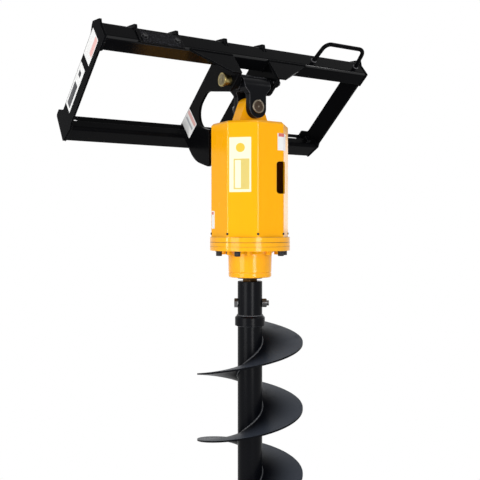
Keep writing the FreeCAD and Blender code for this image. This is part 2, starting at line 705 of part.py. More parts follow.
def make_top_lug():
    # Lug on the roof: round about the lower pin, with straight flanks down to its foot.
    slope = math.radians(LUG_FLANK)
    foot = LUG_RADIUS / math.cos(slope) + (LOWER_PIN_Z - COVER_TOP_Z) * math.tan(slope)
    shoulder = LUG_RADIUS * math.tan((math.pi / 2 - slope) / 2)
    crest = LOWER_PIN_Z + LUG_RADIUS
    outline = [
        (-foot, COVER_TOP_Z),
        (foot, COVER_TOP_Z),
        (shoulder, crest, LUG_RADIUS - 0.01),
        (-shoulder, crest, LUG_RADIUS - 0.01),
    ]
    thick = EAR_GAP - 2 * SIDE_GAP
    blank = plate(outline, "xz", -thick / 2, thick)
    return blank.cut(rod(LOWER_PIN / 2 + RUN_FIT, -thick / 2, thick / 2, Y_AXIS, Vec(0, 0, LOWER_PIN_Z)))


def screw_spots(z):
    angles = [SCREW_PHASE + pair * 360 / SCREW_PAIRS for pair in range(SCREW_PAIRS)]
    angles += [angle + SCREW_STEP for angle in angles]
    return [polar(SCREW_CIRCLE / 2, angle, z) for angle in angles]


def screw_bores(low, high):
    return [rod(SCREW_SIZE / 2, low, high, centre=spot) for spot in screw_spots(0)]


def make_cover_flange():
    # Round flange with an octagonal upstand inside the cover.
    disc = tube(FLANGE_OUTER / 2, RING_BODY / 2, BAND_Z, FLANGE_Z)
    inner = COVER_FLATS - 2 * COVER_WALL
    upstand = octagon(inner, COVER_BEND - COVER_WALL, FLANGE_Z, FLANGE_Z + UPSTAND)
    hollow = rod(inner / 2 - UPSTAND_WALL, FLANGE_Z, FLANGE_Z + UPSTAND)
    core = rod(RING_BODY / 2, FLANGE_Z, FLANGE_Z + UPSTAND)
    return joined([disc, upstand.cut([hollow, core])]).cut(screw_bores(BAND_Z, FLANGE_Z - 3))


def involute_point(base, turn):
    # Point of a circle's involute, unrolled by turn radians.
    x = base * (math.cos(turn) + turn * math.sin(turn))
    y = base * (math.sin(turn) - turn * math.cos(turn))
    return x, y


def gear_wire(teeth, above, below, slack):
    # Gear outline with a tooth centred on +X; slack thins each tooth at the pitch circle.
    pitch = MODULE * teeth / 2
    base = pitch * math.cos(math.radians(PRESSURE_ANGLE))
    tip, root = pitch + above * MODULE, pitch - below * MODULE
    roll = math.tan(math.radians(PRESSURE_ANGLE))
    half = math.pi / (2 * teeth) - slack / (2 * pitch) + roll - math.radians(PRESSURE_ANGLE)
    low = math.sqrt(max((root / base) ** 2 - 1, 0))
    high = math.sqrt((tip / base) ** 2 - 1)
    flank = []
    for turn in (low, (low + high) / 2, high):
        x, y = involute_point(base, turn)
        flank.append((math.hypot(x, y), half - math.atan2(y, x)))
    edges = []
    tooth_angle = 360 / teeth
    foot = math.degrees(flank[0][1])
    for tooth in range(teeth):
        centre = tooth * tooth_angle
        rise = [polar(r, centre - math.degrees(a)) for r, a in flank]
        fall = [polar(r, centre + math.degrees(a)) for r, a in flank[::-1]]
        edges += [Part.Arc(*rise).toShape(), Part.makeLine(rise[-1], fall[0]), Part.Arc(*fall).toShape()]
        following = polar(flank[0][0], centre + tooth_angle - foot)
        route = [fall[-1], polar(root, centre + foot), polar(root, centre + tooth_angle - foot), following]
        for a, b in zip(route, route[1:]):
            if (b - a).Length > 1e-6:
                edges.append(Part.makeLine(a, b))
    return Part.Wire(edges)


def gear_blank(teeth, above, below, slack, low, high):
    face = Part.Face(gear_wire(teeth, above, below, slack))
    face.translate(Z_AXIS * low)
    return face.extrude(Z_AXIS * (high - low))


def make_ring_gear():
    # Band in the flange stack and a body inside the cover, with internal teeth.
    band = rod(FLANGE_OUTER / 2, NOSE_Z, BAND_Z)
    body = rod(RING_BODY / 2, BAND_Z, RING_TOP_Z)
    spaces = gear_blank(RING_TEETH, DEDENDUM, ADDENDUM, -BACKLASH, NOSE_Z, RING_TOP_Z)
    return joined([band, body]).cut([spun(spaces, 180 / RING_TEETH)] + screw_bores(NOSE_Z, BAND_Z))


def make_sun_gear():
    gear = gear_blank(SUN_TEETH, ADDENDUM, DEDENDUM, BACKLASH, PLANET_END_Z + 1, PLANET_TOP_Z)
    shaft = rod(MOTOR_SHAFT / 2, PLANET_TOP_Z, MOTOR_Z + SHAFT_ENTRY)
    return joined([gear, shaft])


def make_planet(angle):
    # The tooth phase puts each planet in mesh with the sun and with the ring.
    gear = gear_blank(PLANET_TEETH, ADDENDUM, DEDENDUM, BACKLASH, PLANET_END_Z, PLANET_TOP_Z)
    gear = gear.cut(rod(PLANET_PIN / 2 + RUN_FIT, PLANET_END_Z, PLANET_TOP_Z))
    gear = spun(gear, angle + 180 + angle * SUN_TEETH / PLANET_TEETH - 180 / PLANET_TEETH)
    return gear.translated(polar(PLANET_ORBIT, angle))


def make_nose():
    # Bearing nose: flange, body with a groove near its end, and stepped bore.
    outer, end = NOSE_OUTER / 2, NOSE_END / 2
    groove = NOSE_END_Z + NOSE_GROOVE_UP
    taper = outer - 1.5
    profile = [
        (UPPER_BEARING / 2, NOSE_Z), (FLANGE_OUTER / 2, NOSE_Z),
        (FLANGE_OUTER / 2, NOSE_BODY_Z), (outer + NOSE_ROOT, NOSE_BODY_Z),
        (outer, NOSE_BODY_Z - NOSE_ROOT), (taper, groove + NOSE_GROOVE_WIDTH),
        (taper - NOSE_GROOVE, groove + NOSE_GROOVE_WIDTH / 2), (taper, groove),
        (end + 2, NOSE_END_Z + 3), (end - 1, NOSE_END_Z),
        (SEAL_OUTER / 2, NOSE_END_Z), (SEAL_OUTER / 2, SEAL_Z),
        (LOWER_BEARING / 2, SEAL_Z), (LOWER_BEARING / 2, UPPER_BEARING_Z - BEARING_WIDE),
        (UPPER_BEARING / 2, UPPER_BEARING_Z - BEARING_WIDE),
    ]
    return turned(profile).cut(screw_bores(NOSE_BODY_Z, NOSE_Z))


def make_flange_screws():
    # Socket cap screws from below, through the nose and the ring into the cover's flange.
    screws = []
    for spot in screw_spots(0):
        end = NOSE_BODY_Z - SCREW_HEAD
        head = rod(0.75 * SCREW_SIZE, end, NOSE_BODY_Z, centre=spot)
        socket = prism(6, 0.85 * SCREW_SIZE, end, end + SCREW_SIZE / 2, centre=spot)
        shank = rod(SCREW_SIZE / 2, NOSE_BODY_Z, FLANGE_Z - 3, centre=spot)
        screws.append(joined([head.cut(socket), shank]))
    return Part.makeCompound(screws)


def make_motor_plate():
    return tube(RING_BODY / 2, MOTOR_SHAFT / 2 + RUN_FIT, RING_TOP_Z, MOTOR_Z)


def port_spots():
    return [polar(PORT_BLOCK_REACH, WINDOW_ANGLE, WINDOW_Z + side * PORT_SPACING / 2) for side in (1, -1)]


def make_motor():
    # Square flange, round body and a block with two ports that face the window.
    half = MOTOR_FLANGE / 2
    corners = [(-half, -half, 12), (half, -half, 12), (half, half, 12), (-half, half, 12)]
    flange = plate(corners, "xy", MOTOR_Z, MOTOR_FLANGE_THICK)
    body = rod(MOTOR_BODY / 2, MOTOR_Z + MOTOR_FLANGE_THICK, MOTOR_TOP_Z)
    low = WINDOW_Z - PORT_BLOCK_HEIGHT / 2
    side = PORT_BLOCK_WIDTH / 2
    corners = [(0, -side), (PORT_BLOCK_REACH, -side, 4), (PORT_BLOCK_REACH, side, 4), (0, side)]
    block = spun(plate(corners, "xy", low, PORT_BLOCK_HEIGHT), WINDOW_ANGLE)
    ports = [rod(PORT_BORE / 2, -PORT_DEPTH, 0, polar(1, WINDOW_ANGLE), spot) for spot in port_spots()]
    entry = rod(MOTOR_SHAFT / 2 + RUN_FIT, MOTOR_Z, MOTOR_Z + SHAFT_ENTRY + 1)
    return joined([flange, body, block]).cut(ports + [entry])


def make_motor_cap():
    cap = rod(MOTOR_CAP_OUTER / 2, MOTOR_TOP_Z, MOTOR_TOP_Z + MOTOR_CAP)
    rim = max(cap.Edges, key=lambda edge: edge.CenterOfMass.z)
    return cap.makeChamfer(3, [rim])


def make_upper_bearing():
    low = UPPER_BEARING_Z - BEARING_WIDE
    return tube(UPPER_BEARING / 2, UPPER_JOURNAL / 2 + RUN_FIT, low, UPPER_BEARING_Z)


def make_lower_bearing():
    low = LOWER_BEARING_Z - BEARING_WIDE
    return tube(LOWER_BEARING / 2, LOWER_JOURNAL / 2 + RUN_FIT, low, LOWER_BEARING_Z)


def make_seal():
    return tube(SEAL_OUTER / 2, LOWER_JOURNAL / 2 + RUN_FIT, NOSE_END_Z - SEAL_SHOW, SEAL_Z)


# ---- Rotor: carrier, shaft and auger; the auger is drawn with its hub bolt along X ----
def make_carrier():
    low = CARRIER_Z - CARRIER_SHEET
    disc = tube(CARRIER_OUTER / 2, UPPER_JOURNAL / 2, low, CARRIER_Z)
    spots = [polar(PLANET_ORBIT, index * 360 / PLANET_COUNT) for index in range(PLANET_COUNT)]
    return disc.cut([rod(PLANET_PIN / 2, low, CARRIER_Z, centre=spot) for spot in spots])


def make_planet_pins():
    low = CARRIER_Z - CARRIER_SHEET
    spots = [polar(PLANET_ORBIT, index * 360 / PLANET_COUNT) for index in range(PLANET_COUNT)]
    return Part.makeCompound([rod(PLANET_PIN / 2, low, PLANET_TOP_Z, centre=spot) for spot in spots])


def hub_bolt_hole():
    return rod(HUB_BOLT / 2 + BOLT_FIT, -HUB_OUTER, HUB_OUTER, X_AXIS, Z_AXIS * (HUB_Z - HUB_BOLT_DROP))


def make_output_shaft():
    # Journals for both bearings, then the hexagonal end that fits the auger's hub.
    step = LOWER_BEARING_Z + 6
    neck = NOSE_END_Z - SEAL_SHOW - 1
    end = CORE_Z + SHAFT_SHORT
    journal = rod(UPPER_JOURNAL / 2, step, CARRIER_Z)
    lower = rod(LOWER_JOURNAL / 2, neck, step)
    hexagon = prism(6, HEX_FLATS, end, neck, turn=AUGER_PHASE)
    return joined([journal, lower, hexagon]).cut(spun(hub_bolt_hole(), AUGER_PHASE))


def make_hub():
    blank = rod(HUB_OUTER / 2, CORE_Z, HUB_Z)
    rim = max(blank.Edges, key=lambda edge: edge.CenterOfMass.z)
    blank = blank.makeChamfer(2, [rim])
    socket = prism(6, HEX_FLATS, CORE_Z + SHAFT_SHORT - 4, HUB_Z)
    return blank.cut([socket, hub_bolt_hole()])


def make_hub_bolt():
    centre = Z_AXIS * (HUB_Z - HUB_BOLT_DROP)
    reach = HUB_OUTER / 2
    head = prism(6, BOLT_HEAD, -reach - BOLT_HEAD_THICK, -reach, axis=X_AXIS, centre=centre)
    tail = reach + 0.8 * HUB_BOLT + BOLT_TAIL
    return joined([rod(HUB_BOLT / 2, -reach, tail, X_AXIS, centre), head])


def make_hub_nut():
    centre = Z_AXIS * (HUB_Z - HUB_BOLT_DROP)
    low, high = HUB_OUTER / 2, HUB_OUTER / 2 + 0.8 * HUB_BOLT
    nut = prism(6, BOLT_HEAD, low, high, axis=X_AXIS, centre=centre)
    return nut.cut(rod(HUB_BOLT / 2, low, high, X_AXIS, centre))


def make_collar():
    outer, bore = COLLAR_OUTER / 2, CORE_OUTER / 2
    low = COLLAR_Z - COLLAR_HEIGHT
    return turned([
        (bore, low), (outer, low), (outer, COLLAR_Z - COLLAR_BEVEL),
        (outer - COLLAR_BEVEL, COLLAR_Z), (bore, COLLAR_Z),
    ])


def make_core():
    return tube(CORE_OUTER / 2, CORE_OUTER / 2 - CORE_WALL, CORE_END_Z, CORE_Z)


def helix_edge(radius, top, angle, turns):
    # Right-handed helix that goes down from the given height and direction.
    count = round(turns * FLIGHT_STEPS)
    curve = Part.BSplineCurve()
    curve.interpolate([
        polar(radius, angle - 360 * index / FLIGHT_STEPS, top - FLIGHT_PITCH * index / FLIGHT_STEPS)
        for index in range(count + 1)
    ])
    return curve.toShape()


def make_flight(top, angle, turns):
    # Helicoid plate from the core to the rim: four ruled faces and two flat ends.
    radii = (CORE_OUTER / 2, FLIGHT_OUTER / 2)
    upper = [helix_edge(radius, top, angle, turns) for radius in radii]
    lower = [helix_edge(radius, top - FLIGHT_SHEET, angle, turns) for radius in radii[::-1]]
    ring = upper + lower
    faces = [Part.makeRuledSurface(a, b, 1) for a, b in zip(ring, ring[1:] + ring[:1])]
    for end in (0, -1):
        corners = [edge.Vertexes[end].Point for edge in ring]
        faces.append(Part.Face(Part.makePolygon(corners + corners[:1])))
    return Part.Solid(Part.Shell(faces))


def board_frame():
    rake = math.radians(BOARD_RAKE)
    down = (-math.sin(rake), -math.cos(rake))
    front = (-math.cos(rake), math.sin(rake))
    return down, front


def step_to(point, down, along, front=(0, 0), out=0.0):
    return point[0] + down[0] * along + front[0] * out, point[1] + down[1] * along + front[1] * out


def make_cutter_board():
    # Raked board under the flight's lower end, drawn along X.
    down, front = board_frame()
    heel = (0, -FLIGHT_SHEET)
    toe = step_to(heel, down, BOARD_HEIGHT)
    nose = step_to(toe, down, 0, front, BOARD_SHEET)
    crest = step_to(nose, down, nose[1] / math.cos(math.radians(BOARD_RAKE)))
    outline = [(0, 0), heel, toe, nose, crest]
    length = (FLIGHT_OUTER - CORE_OUTER) / 2
    board = plate(outline, "yz", CORE_OUTER / 2, length)
    return board.cut(rod(CORE_OUTER / 2, -2 * BOARD_HEIGHT, BOARD_HEIGHT))


def make_teeth():
    # Flat teeth on the front of one board, pointing down and forward.
    down, front = board_frame()
    toe = step_to((0, -FLIGHT_SHEET), down, BOARD_HEIGHT, front, BOARD_SHEET)
    outline = [
        step_to(toe, down, -TOOTH_SEAT),
        toe,
        step_to(toe, down, TOOTH_REACH),
        step_to(toe, down, TOOTH_REACH - 2, front, 3),
        step_to(toe, down, TOOTH_REACH / 4, front, TOOTH_THICK),
        step_to(toe, down, -TOOTH_SEAT, front, TOOTH_THICK),
    ]
    room = (FLIGHT_OUTER - CORE_OUTER) / 2
    step = (room - TOOTH_WIDTH) / (TOOTH_COUNT - 1) - 2
    last = FLIGHT_OUTER / 2 - TOOTH_WIDTH
    starts = [last - index * step for index in range(TOOTH_COUNT)]
    return Part.makeCompound([plate(outline, "yz", x, TOOTH_WIDTH) for x in starts])


def make_pilot_holder():
    return turned([
        (0, CORE_END_Z - HOLDER_HEIGHT), (PILOT_SHANK / 2 + HOLDER_LIP, CORE_END_Z - HOLDER_HEIGHT),
        (CORE_OUTER / 2, CORE_END_Z - HOLDER_HEIGHT / 3), (CORE_OUTER / 2, CORE_END_Z), (0, CORE_END_Z),
    ])


def make_pilot_bit():
    # Fishtail bit: round shank and a stepped flat blade with a centre point.
    holder_end = CORE_END_Z - HOLDER_HEIGHT
    top = holder_end - PILOT_SHOW
    half, point = PILOT_BLADE / 2, PILOT_POINT / 2
    shank = rod(PILOT_SHANK / 2, holder_end - PILOT_SOCKET, holder_end)
    outline = [
        (-half, top, 3), (half, top, 3), (half - PILOT_TAPER, top - PILOT_CHEEK),
        (point, top - PILOT_NOTCH), (0, TIP_Z), (-point, top - PILOT_NOTCH),
        (PILOT_TAPER - half, top - PILOT_CHEEK),
    ]
    return joined([shank, plate(outline, "xz", -PILOT_SHEET / 2, PILOT_SHEET)])


def build_frame():
    top_rail, bottom_rail = make_top_rail(), make_bottom_rail()
    wing = make_wing(top_rail)
    side, rib, boss = make_side_plate(), make_lip_rib(top_rail), make_hitch_boss()
    hitch = make_hitch_plate(top_rail, bottom_rail, wing)
    bolt = make_keeper_bolt()
    return {
        "top_rail": top_rail,
        "bottom_rail": bottom_rail,
        "side_plate_left": side,
        "side_plate_right": mirrored(side),
        "hitch_plate_left": hitch,
        "hitch_plate_right": mirrored(hitch.cut(bolt)),
        "wing_left": wing,
        "wing_right": mirrored(wing),
        "lip_rib_left": rib,
        "lip_rib_right": mirrored(rib),
        "step_tread": make_tread(top_rail),
        "tread_bolts": make_tread_bolts(),
        "grab_handle": make_grab_handle(top_rail),
        "latch_block": make_latch_block(),
        "hitch_boss_left": boss,
        "hitch_boss_right": mirrored(boss),
        "upper_pin": make_upper_pin(),
        "pin_keeper": mirrored(make_pin_keeper()),
        "keeper_bolt": mirrored(bolt),
    }


def build_hanging():
    ear = make_ear()
    shapes = {
        "knuckle_tube": make_knuckle_tube(),
        "knuckle_ear_rear": ear,
        "knuckle_ear_front": ear.mirror(Vec(0, 0, 0), Y_AXIS),
        "lower_pin": make_lower_pin(),
        "lower_nut": make_lower_nut(),
        "drive_cover": make_cover(),
        "top_lug": make_top_lug(),
        "cover_flange": make_cover_flange(),
        "ring_gear": make_ring_gear(),
        "bearing_nose": make_nose(),
        "flange_screws": make_flange_screws(),
        "motor_plate": make_motor_plate(),
        "hydraulic_motor": make_motor(),
        "motor_cap": make_motor_cap(),
        "bearing_upper": make_upper_bearing(),
        "bearing_lower": make_lower_bearing(),
        "shaft_seal": make_seal(),
        "sun_gear": make_sun_gear(),
        "planet_carrier": make_carrier(),
        "planet_pins": make_planet_pins(),
        "output_shaft": make_output_shaft(),
    }
    for index in range(PLANET_COUNT):
        angle = index * 360 / PLANET_COUNT
        shapes[f"planet_gear_{index + 1}"] = make_planet(angle)
    return shapes


def build_auger():
    shapes = {
        "auger_hub": make_hub(),
        "hub_bolt": make_hub_bolt(),
        "hub_nut": make_hub_nut(),
        "collar_ring": make_collar(),
        "core_tube": make_core(),
        "pilot_holder": make_pilot_holder(),
        "pilot_bit": make_pilot_bit(),
    }
    for index in range(FLIGHT_TURNS):
        top = FLIGHT_Z - index * FLIGHT_PITCH
        shapes[f"flight_{index + 1}"] = make_flight(top, FLIGHT_START, 1)
    shapes["flight_lead"] = make_flight(BOARD_Z + FLIGHT_PITCH / 2, FLIGHT_START, 0.5)
    board, teeth = make_cutter_board(), make_teeth()
    for index, angle in enumerate((FLIGHT_START, FLIGHT_START + 180)):
        for name, shape in (("cutter_board", board), ("teeth", teeth)):
            shapes[f"{name}_{index + 1}"] = spun(shape, angle).translated(Z_AXIS * BOARD_Z)
    return {name: spun(shape, AUGER_PHASE) for name, shape in shapes.items()}


def export(shapes, placement):
    for name, shape in shapes.items():
        placed = shape.copy()
        placed.Placement = placement.multiply(placed.Placement)
        placed.exportStep(f"parts/{name}.step")


export(build_frame(), FRAME_PLACE)
export(build_hanging(), PIN_PLACE)
export(build_auger(), PIN_PLACE)
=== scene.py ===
import json
import random
from math import cos, pi, radians, sin, sqrt
import bpy
from mathutils import Matrix, Vector


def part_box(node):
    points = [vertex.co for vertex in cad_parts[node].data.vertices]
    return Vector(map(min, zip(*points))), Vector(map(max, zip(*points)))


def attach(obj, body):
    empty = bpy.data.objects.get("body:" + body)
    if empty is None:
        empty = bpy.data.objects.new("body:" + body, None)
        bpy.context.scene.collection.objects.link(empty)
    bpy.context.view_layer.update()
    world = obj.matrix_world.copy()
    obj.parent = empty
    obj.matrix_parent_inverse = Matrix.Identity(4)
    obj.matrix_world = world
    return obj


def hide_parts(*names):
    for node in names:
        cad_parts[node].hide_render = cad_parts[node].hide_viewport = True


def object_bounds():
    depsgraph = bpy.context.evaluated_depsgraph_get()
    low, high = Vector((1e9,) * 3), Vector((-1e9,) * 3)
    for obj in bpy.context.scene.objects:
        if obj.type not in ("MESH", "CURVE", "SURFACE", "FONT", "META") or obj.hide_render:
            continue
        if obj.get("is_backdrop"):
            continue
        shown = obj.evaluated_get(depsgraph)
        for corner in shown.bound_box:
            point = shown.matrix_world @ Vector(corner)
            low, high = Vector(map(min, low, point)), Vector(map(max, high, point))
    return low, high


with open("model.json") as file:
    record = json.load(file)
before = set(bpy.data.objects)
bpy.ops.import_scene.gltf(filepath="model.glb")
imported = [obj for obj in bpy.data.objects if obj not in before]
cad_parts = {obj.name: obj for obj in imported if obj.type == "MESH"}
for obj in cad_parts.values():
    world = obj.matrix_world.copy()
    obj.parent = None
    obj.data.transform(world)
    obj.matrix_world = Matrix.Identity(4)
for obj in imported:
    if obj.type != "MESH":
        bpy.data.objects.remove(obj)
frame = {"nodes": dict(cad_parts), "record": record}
scene = bpy.context.scene
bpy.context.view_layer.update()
nodes = frame["nodes"]
mm = 0.001
random.seed(11)
print("frame loaded:", len(nodes), "nodes")

# The coupler frame is drawn upright and tilted about X; everything else hangs plumb from the upper pin.
framePlace = {"tilt": 50.0, "hookY": 85.435, "hookZ": -24.749}
tiltTurn = Matrix.Rotation(radians(framePlace["tilt"]), 3, "X")
pinLow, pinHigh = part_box("upper_pin")
pinSpot = Vector((0, (pinLow.y + pinHigh.y) / 2, (pinLow.z + pinHigh.z) / 2))
augerTurn = -33.0  # direction of the hub's bolt


def upright(x, y, z):
    return tiltTurn @ Vector((x, y - framePlace["hookY"], z - framePlace["hookZ"])) * mm


def hanging(x, y, z):
    return pinSpot + Vector((x, y, z)) * mm


def turned(x, y, angle):
    turn = radians(angle)
    return x * cos(turn) - y * sin(turn), x * sin(turn) + y * cos(turn)


def onAuger(x, y, z):
    return hanging(*turned(x, y, augerTurn), z)


def around(radius, angle, z=0.0):
    return (radius * cos(radians(angle)), radius * sin(radians(angle)), z)


def beside(spot, radius, angle):
    # Point at a distance and bearing from a spot.
    dx, dy, _ = around(radius, angle)
    return spot[0] + dx, spot[1] + dy


# flat and sharp are cosines between the rounded normal and the face's own.
edgeMask = {"samples": 4, "flat": 0.995, "sharp": 0.86}


class Wire:
    # An output socket; arithmetic on it adds Math nodes.
    def __init__(self, shader, socket):
        self.shader = shader
        self.socket = socket

    def maths(self, operation, *others):
        return self.shader.node("Math", dict(enumerate(others)), operation=operation)

    def __add__(self, other):
        return self.maths("ADD", self, other)

    def __radd__(self, other):
        return self.maths("ADD", other, self)

    def __sub__(self, other):
        return self.maths("SUBTRACT", self, other)

    def __rsub__(self, other):
        return self.maths("SUBTRACT", other, self)

    def __mul__(self, other):
        return self.maths("MULTIPLY", self, other)

    def __rmul__(self, other):
        return self.maths("MULTIPLY", other, self)

    def step(self, low, high):
        # 0 below low, 1 above high, smooth between; the two may be swapped.
        links = {"Value": self, "From Min": low, "From Max": high}
        return self.shader.node("MapRange", links, interpolation_type="SMOOTHSTEP")

    def magnitude(self):
        return self.maths("ABSOLUTE", self)

    def most(self, other):
        return self.maths("MAXIMUM", self, other)


class Shader:
    def __init__(self, name, world=False):
        block = bpy.data.worlds if world else bpy.data.materials
        self.block = block.new(name)
        self.block.use_nodes = True
        self.tree = self.block.node_tree
        self.tree.nodes.clear()

    def node(self, kind, inputs=None, out=0, **settings):
        made = self.tree.nodes.new("ShaderNode" + kind)
        for key, value in settings.items():
            setattr(made, key, value)
        for key, value in (inputs or {}).items():
            if isinstance(value, Wire):
                self.tree.links.new(value.socket, made.inputs[key])
            elif isinstance(value, tuple) and len(value) == 3 and made.inputs[key].type == "RGBA":
                made.inputs[key].default_value = (*value, 1)
            else:
                made.inputs[key].default_value = value
        return Wire(self, made.outputs[out]) if made.outputs else made

    def place(self):
        return self.node("TexCoord", out="Object")

    def facing(self):
        return self.node("NewGeometry", out="Normal")

    def vector(self, operation, first, second=(0.0, 0.0, 0.0), out="Vector"):
        return self.node("VectorMath", {0: first, 1: second}, out, operation=operation)

    def part(self, vector, axis):
        return self.node("SeparateXYZ", {"Vector": vector}, out=axis)

    def noise(self, scale, detail, rough=0.5):
        links = {"Vector": self.place(), "Scale": scale, "Detail": detail, "Roughness": rough}
        return self.node("TexNoise", links)

    def mix(self, factor, first, second):
        return self.node("Mix", {0: factor, 6: first, 7: second}, 2, data_type="RGBA")

    def edges(self, radius):
        # Rounded normal and a mask that is 1 on sharp edges.
        soft = self.node("Bevel", {"Radius": radius}, samples=edgeMask["samples"])
        along = self.vector("DOT_PRODUCT", soft, self.facing(), out="Value")
        return soft, along.step(edgeMask["flat"], edgeMask["sharp"])

    def bump(self, height, strength, depth, normal=None):
        inputs = {"Height": height, "Strength": strength, "Distance": depth}
        if normal:
            inputs["Normal"] = normal
        return self.node("Bump", inputs)

    def surface(self, **sockets):
        links = {key.replace("_", " "): value for key, value in sockets.items()}
        shader = self.node("BsdfPrincipled", links)
        self.node("OutputMaterial", {"Surface": shader})
        return self.block

    def matt(self, colour, rough, bump, level):
        return self.surface(Base_Color=colour, Roughness=rough, Normal=bump, Specular_IOR_Level=level)


sprayed = {"level": 0.3, "peel": 0.3, "coat": 0.0, "coatRough": 0.06, "edge": 1.6}


def paint(tones, rough, **own):
    return {**sprayed, "tones": tones, "rough": rough, **own}


# Each paint's own colour, its colour where worn, and its dust. On the frame, knuckle and yellow paints, the
# lighter worn tone is partly a painted highlight along edges.
blackTones = ((0.003, 0.0031, 0.0037), (0.09, 0.09, 0.095), (0.012, 0.011, 0.01))
# The knuckle's pale worn tone, on a wide edge mask, is mostly a painted highlight along the ears' edges.
knuckleTones = ((0.0042, 0.0044, 0.0056), (0.26, 0.26, 0.28), (0.012, 0.012, 0.012))
yellowTones = ((0.95, 0.417, 0.003), (1.0, 0.76, 0.2), (0.9, 0.38, 0.006))
augerTones = ((0.0018, 0.0021, 0.0034), (0.06, 0.062, 0.07), (0.008, 0.009, 0.013))
# The flights' own tone is a lighter copy of the auger's black: a painted sheen on their faces. Their worn
# tone is darker.
flightSheenTones = ((0.036, 0.043, 0.058), (0.004, 0.0044, 0.006), (0.05, 0.054, 0.066))
weldTones = ((0.03, 0.032, 0.037), (0.12, 0.12, 0.13), (0.04, 0.042, 0.046))
gloss = {
    "framePaint": paint(blackTones, 0.16, level=0.015),
    "platePaint": paint(blackTones, 0.2, level=0.004),
    "knucklePaint": paint(knuckleTones, 0.18, level=0.05, peel=0.4, edge=3.6),
    "drivePaint": paint(yellowTones, 0.16, level=0.08, peel=0.25, coat=0.08),
    "gearPaint": paint(yellowTones, 0.16, level=0.08, peel=0.25, coat=0.33),
    "augerPaint": paint(augerTones, 0.24, level=0.02, coat=0.13, coatRough=0.24),
    "flightPaint": paint(flightSheenTones, 0.34, level=0.045, peel=0.7, edge=1.2),
    "weldPaint": paint(weldTones, 0.24, peel=0.5, coat=0.2, coatRough=0.14, edge=1.0),
    "motorPaint": paint(((0.02, 0.02, 0.021), (0.12, 0.11, 0.1), (0.05, 0.045, 0.04)), 0.5, peel=1.6),
}
paintGrain = {
    "cloud": (9.0, 4.0, 0.6), "fine": (420.0, 2.0), "chips": (160.0, 3.0, 0.7), "chipFrom": 0.52,
    "chipTo": 0.6, "dustFrom": 0.55, "dustTo": 0.8, "dust": 0.16, "edgeWearAndHighlight": 0.45, "chipWear": 0.3,
    "cloudRough": 0.12, "fineRough": 0.05, "base": 0.04, "depth": 0.12,
}


def paintBase(shader, look):
    # Colour, roughness and orange peel of a sprayed coat: dust in clouds, and on the edges a worn tone that
    # is partly wear and partly a painted highlight.
    grain = paintGrain
    soft, edge = shader.edges(look["edge"] * mm)
    cloud = shader.noise(*grain["cloud"])
    fine = shader.noise(*grain["fine"])
    chips = shader.noise(*grain["chips"]).step(grain["chipFrom"], grain["chipTo"])
    dusty = cloud.step(grain["dustFrom"], grain["dustTo"]) * grain["dust"]
    clean, worn, dust = look["tones"]
    colour = shader.mix(dusty, clean, dust)
    # Edges and chips take the worn tone: partly wear, partly a painted highlight along the edges.
    colour = shader.mix(edge * (grain["edgeWearAndHighlight"] + chips * grain["chipWear"]), colour, worn)
    rough = (cloud * grain["cloudRough"] + look["rough"] - grain["base"]) + fine * grain["fineRough"] + dusty
    peel = shader.bump(fine + cloud * 2, look["peel"], grain["depth"] * mm, soft)
    return colour, rough, peel


def coated(shader, look, base, coat, coatRough):
    colour, rough, peel = base
    return shader.surface(Base_Color=colour, Roughness=rough, Normal=peel, Coat_Weight=coat,
                          Coat_Roughness=coatRough, Specular_IOR_Level=look["level"])


def makePaint(name):
    look = gloss[name]
    shader = Shader(name)
    return coated(shader, look, paintBase(shader, look), look["coat"], look["coatRough"])


railGloss = {
    "from": -0.45, "to": -0.08, "fade": 0.05, "coat": 0.5, "front": (0.96, 0.99), "fold": (0.32, 0.5),
    "foldCoat": 0.55, "coatRough": 0.12,
}


def makeRailPaint():
    # The rail's folds are glossier than its flats, and so is its front face beside the drive.
    look, shine = gloss["framePaint"], railGloss
    shader = Shader("railPaint")
    base = paintBase(shader, look)
    normal = shader.facing()
    front, top = [shader.vector("DOT_PRODUCT", normal, tuple(tiltTurn @ Vector(way)), out="Value")
                  for way in ((0, -1, 0), (0, 0, 1))]
    along = shader.part(shader.place(), "X")
    fade = shine["fade"]
    start = along.step(shine["from"] - fade, shine["from"] + fade)
    stretch = start * along.step(shine["to"] + fade, shine["to"] - fade)
    fresh = stretch * front.step(*shine["front"]) * shine["coat"]
    folds = front.step(*shine["fold"]) * top.magnitude().step(*shine["fold"]) * shine["foldCoat"]
    return coated(shader, look, base, fresh.most(folds), shine["coatRough"])


# Painted shade tone for the pipe and rim, the span over which the painted sheen lightens, and the rim's
# upright faces.
flightPaintedLight = {"dark": (0.0025, 0.0028, 0.0042), "from": 0.06, "to": 0.178, "rim": (0.42, 0.3)}


def makeFlightPaint():
    # Painted light: the flights are painted dark at the pipe and on the rim as painted shade, and lighter
    # over the outer part as a painted sheen.
    look, shade = gloss["flightPaint"], flightPaintedLight
    shader = Shader("flightPaint")
    colour, rough, peel = paintBase(shader, look)
    spread = shader.vector("SUBTRACT", shader.place(), tuple(onAuger(0, 0, 0)))
    spread = shader.vector("MULTIPLY", spread, (1.0, 1.0, 0.0))
    spread = shader.vector("LENGTH", spread, out="Value")
    # The flights' upright rim gets the painted shade.
    rim = shader.part(shader.facing(), "Z").magnitude().step(*shade["rim"])
    paintedSheen = spread.step(shade["from"], shade["to"]) * (1 - rim)
    colour = shader.mix(paintedSheen, shade["dark"], colour)
    return coated(shader, look, (colour, rough, peel), look["coat"], look["coatRough"])


coverGloss = {"flats": 0.08, "folds": 0.6, "fold": (0.2, 0.7), "upright": (0.2, 0.1)}


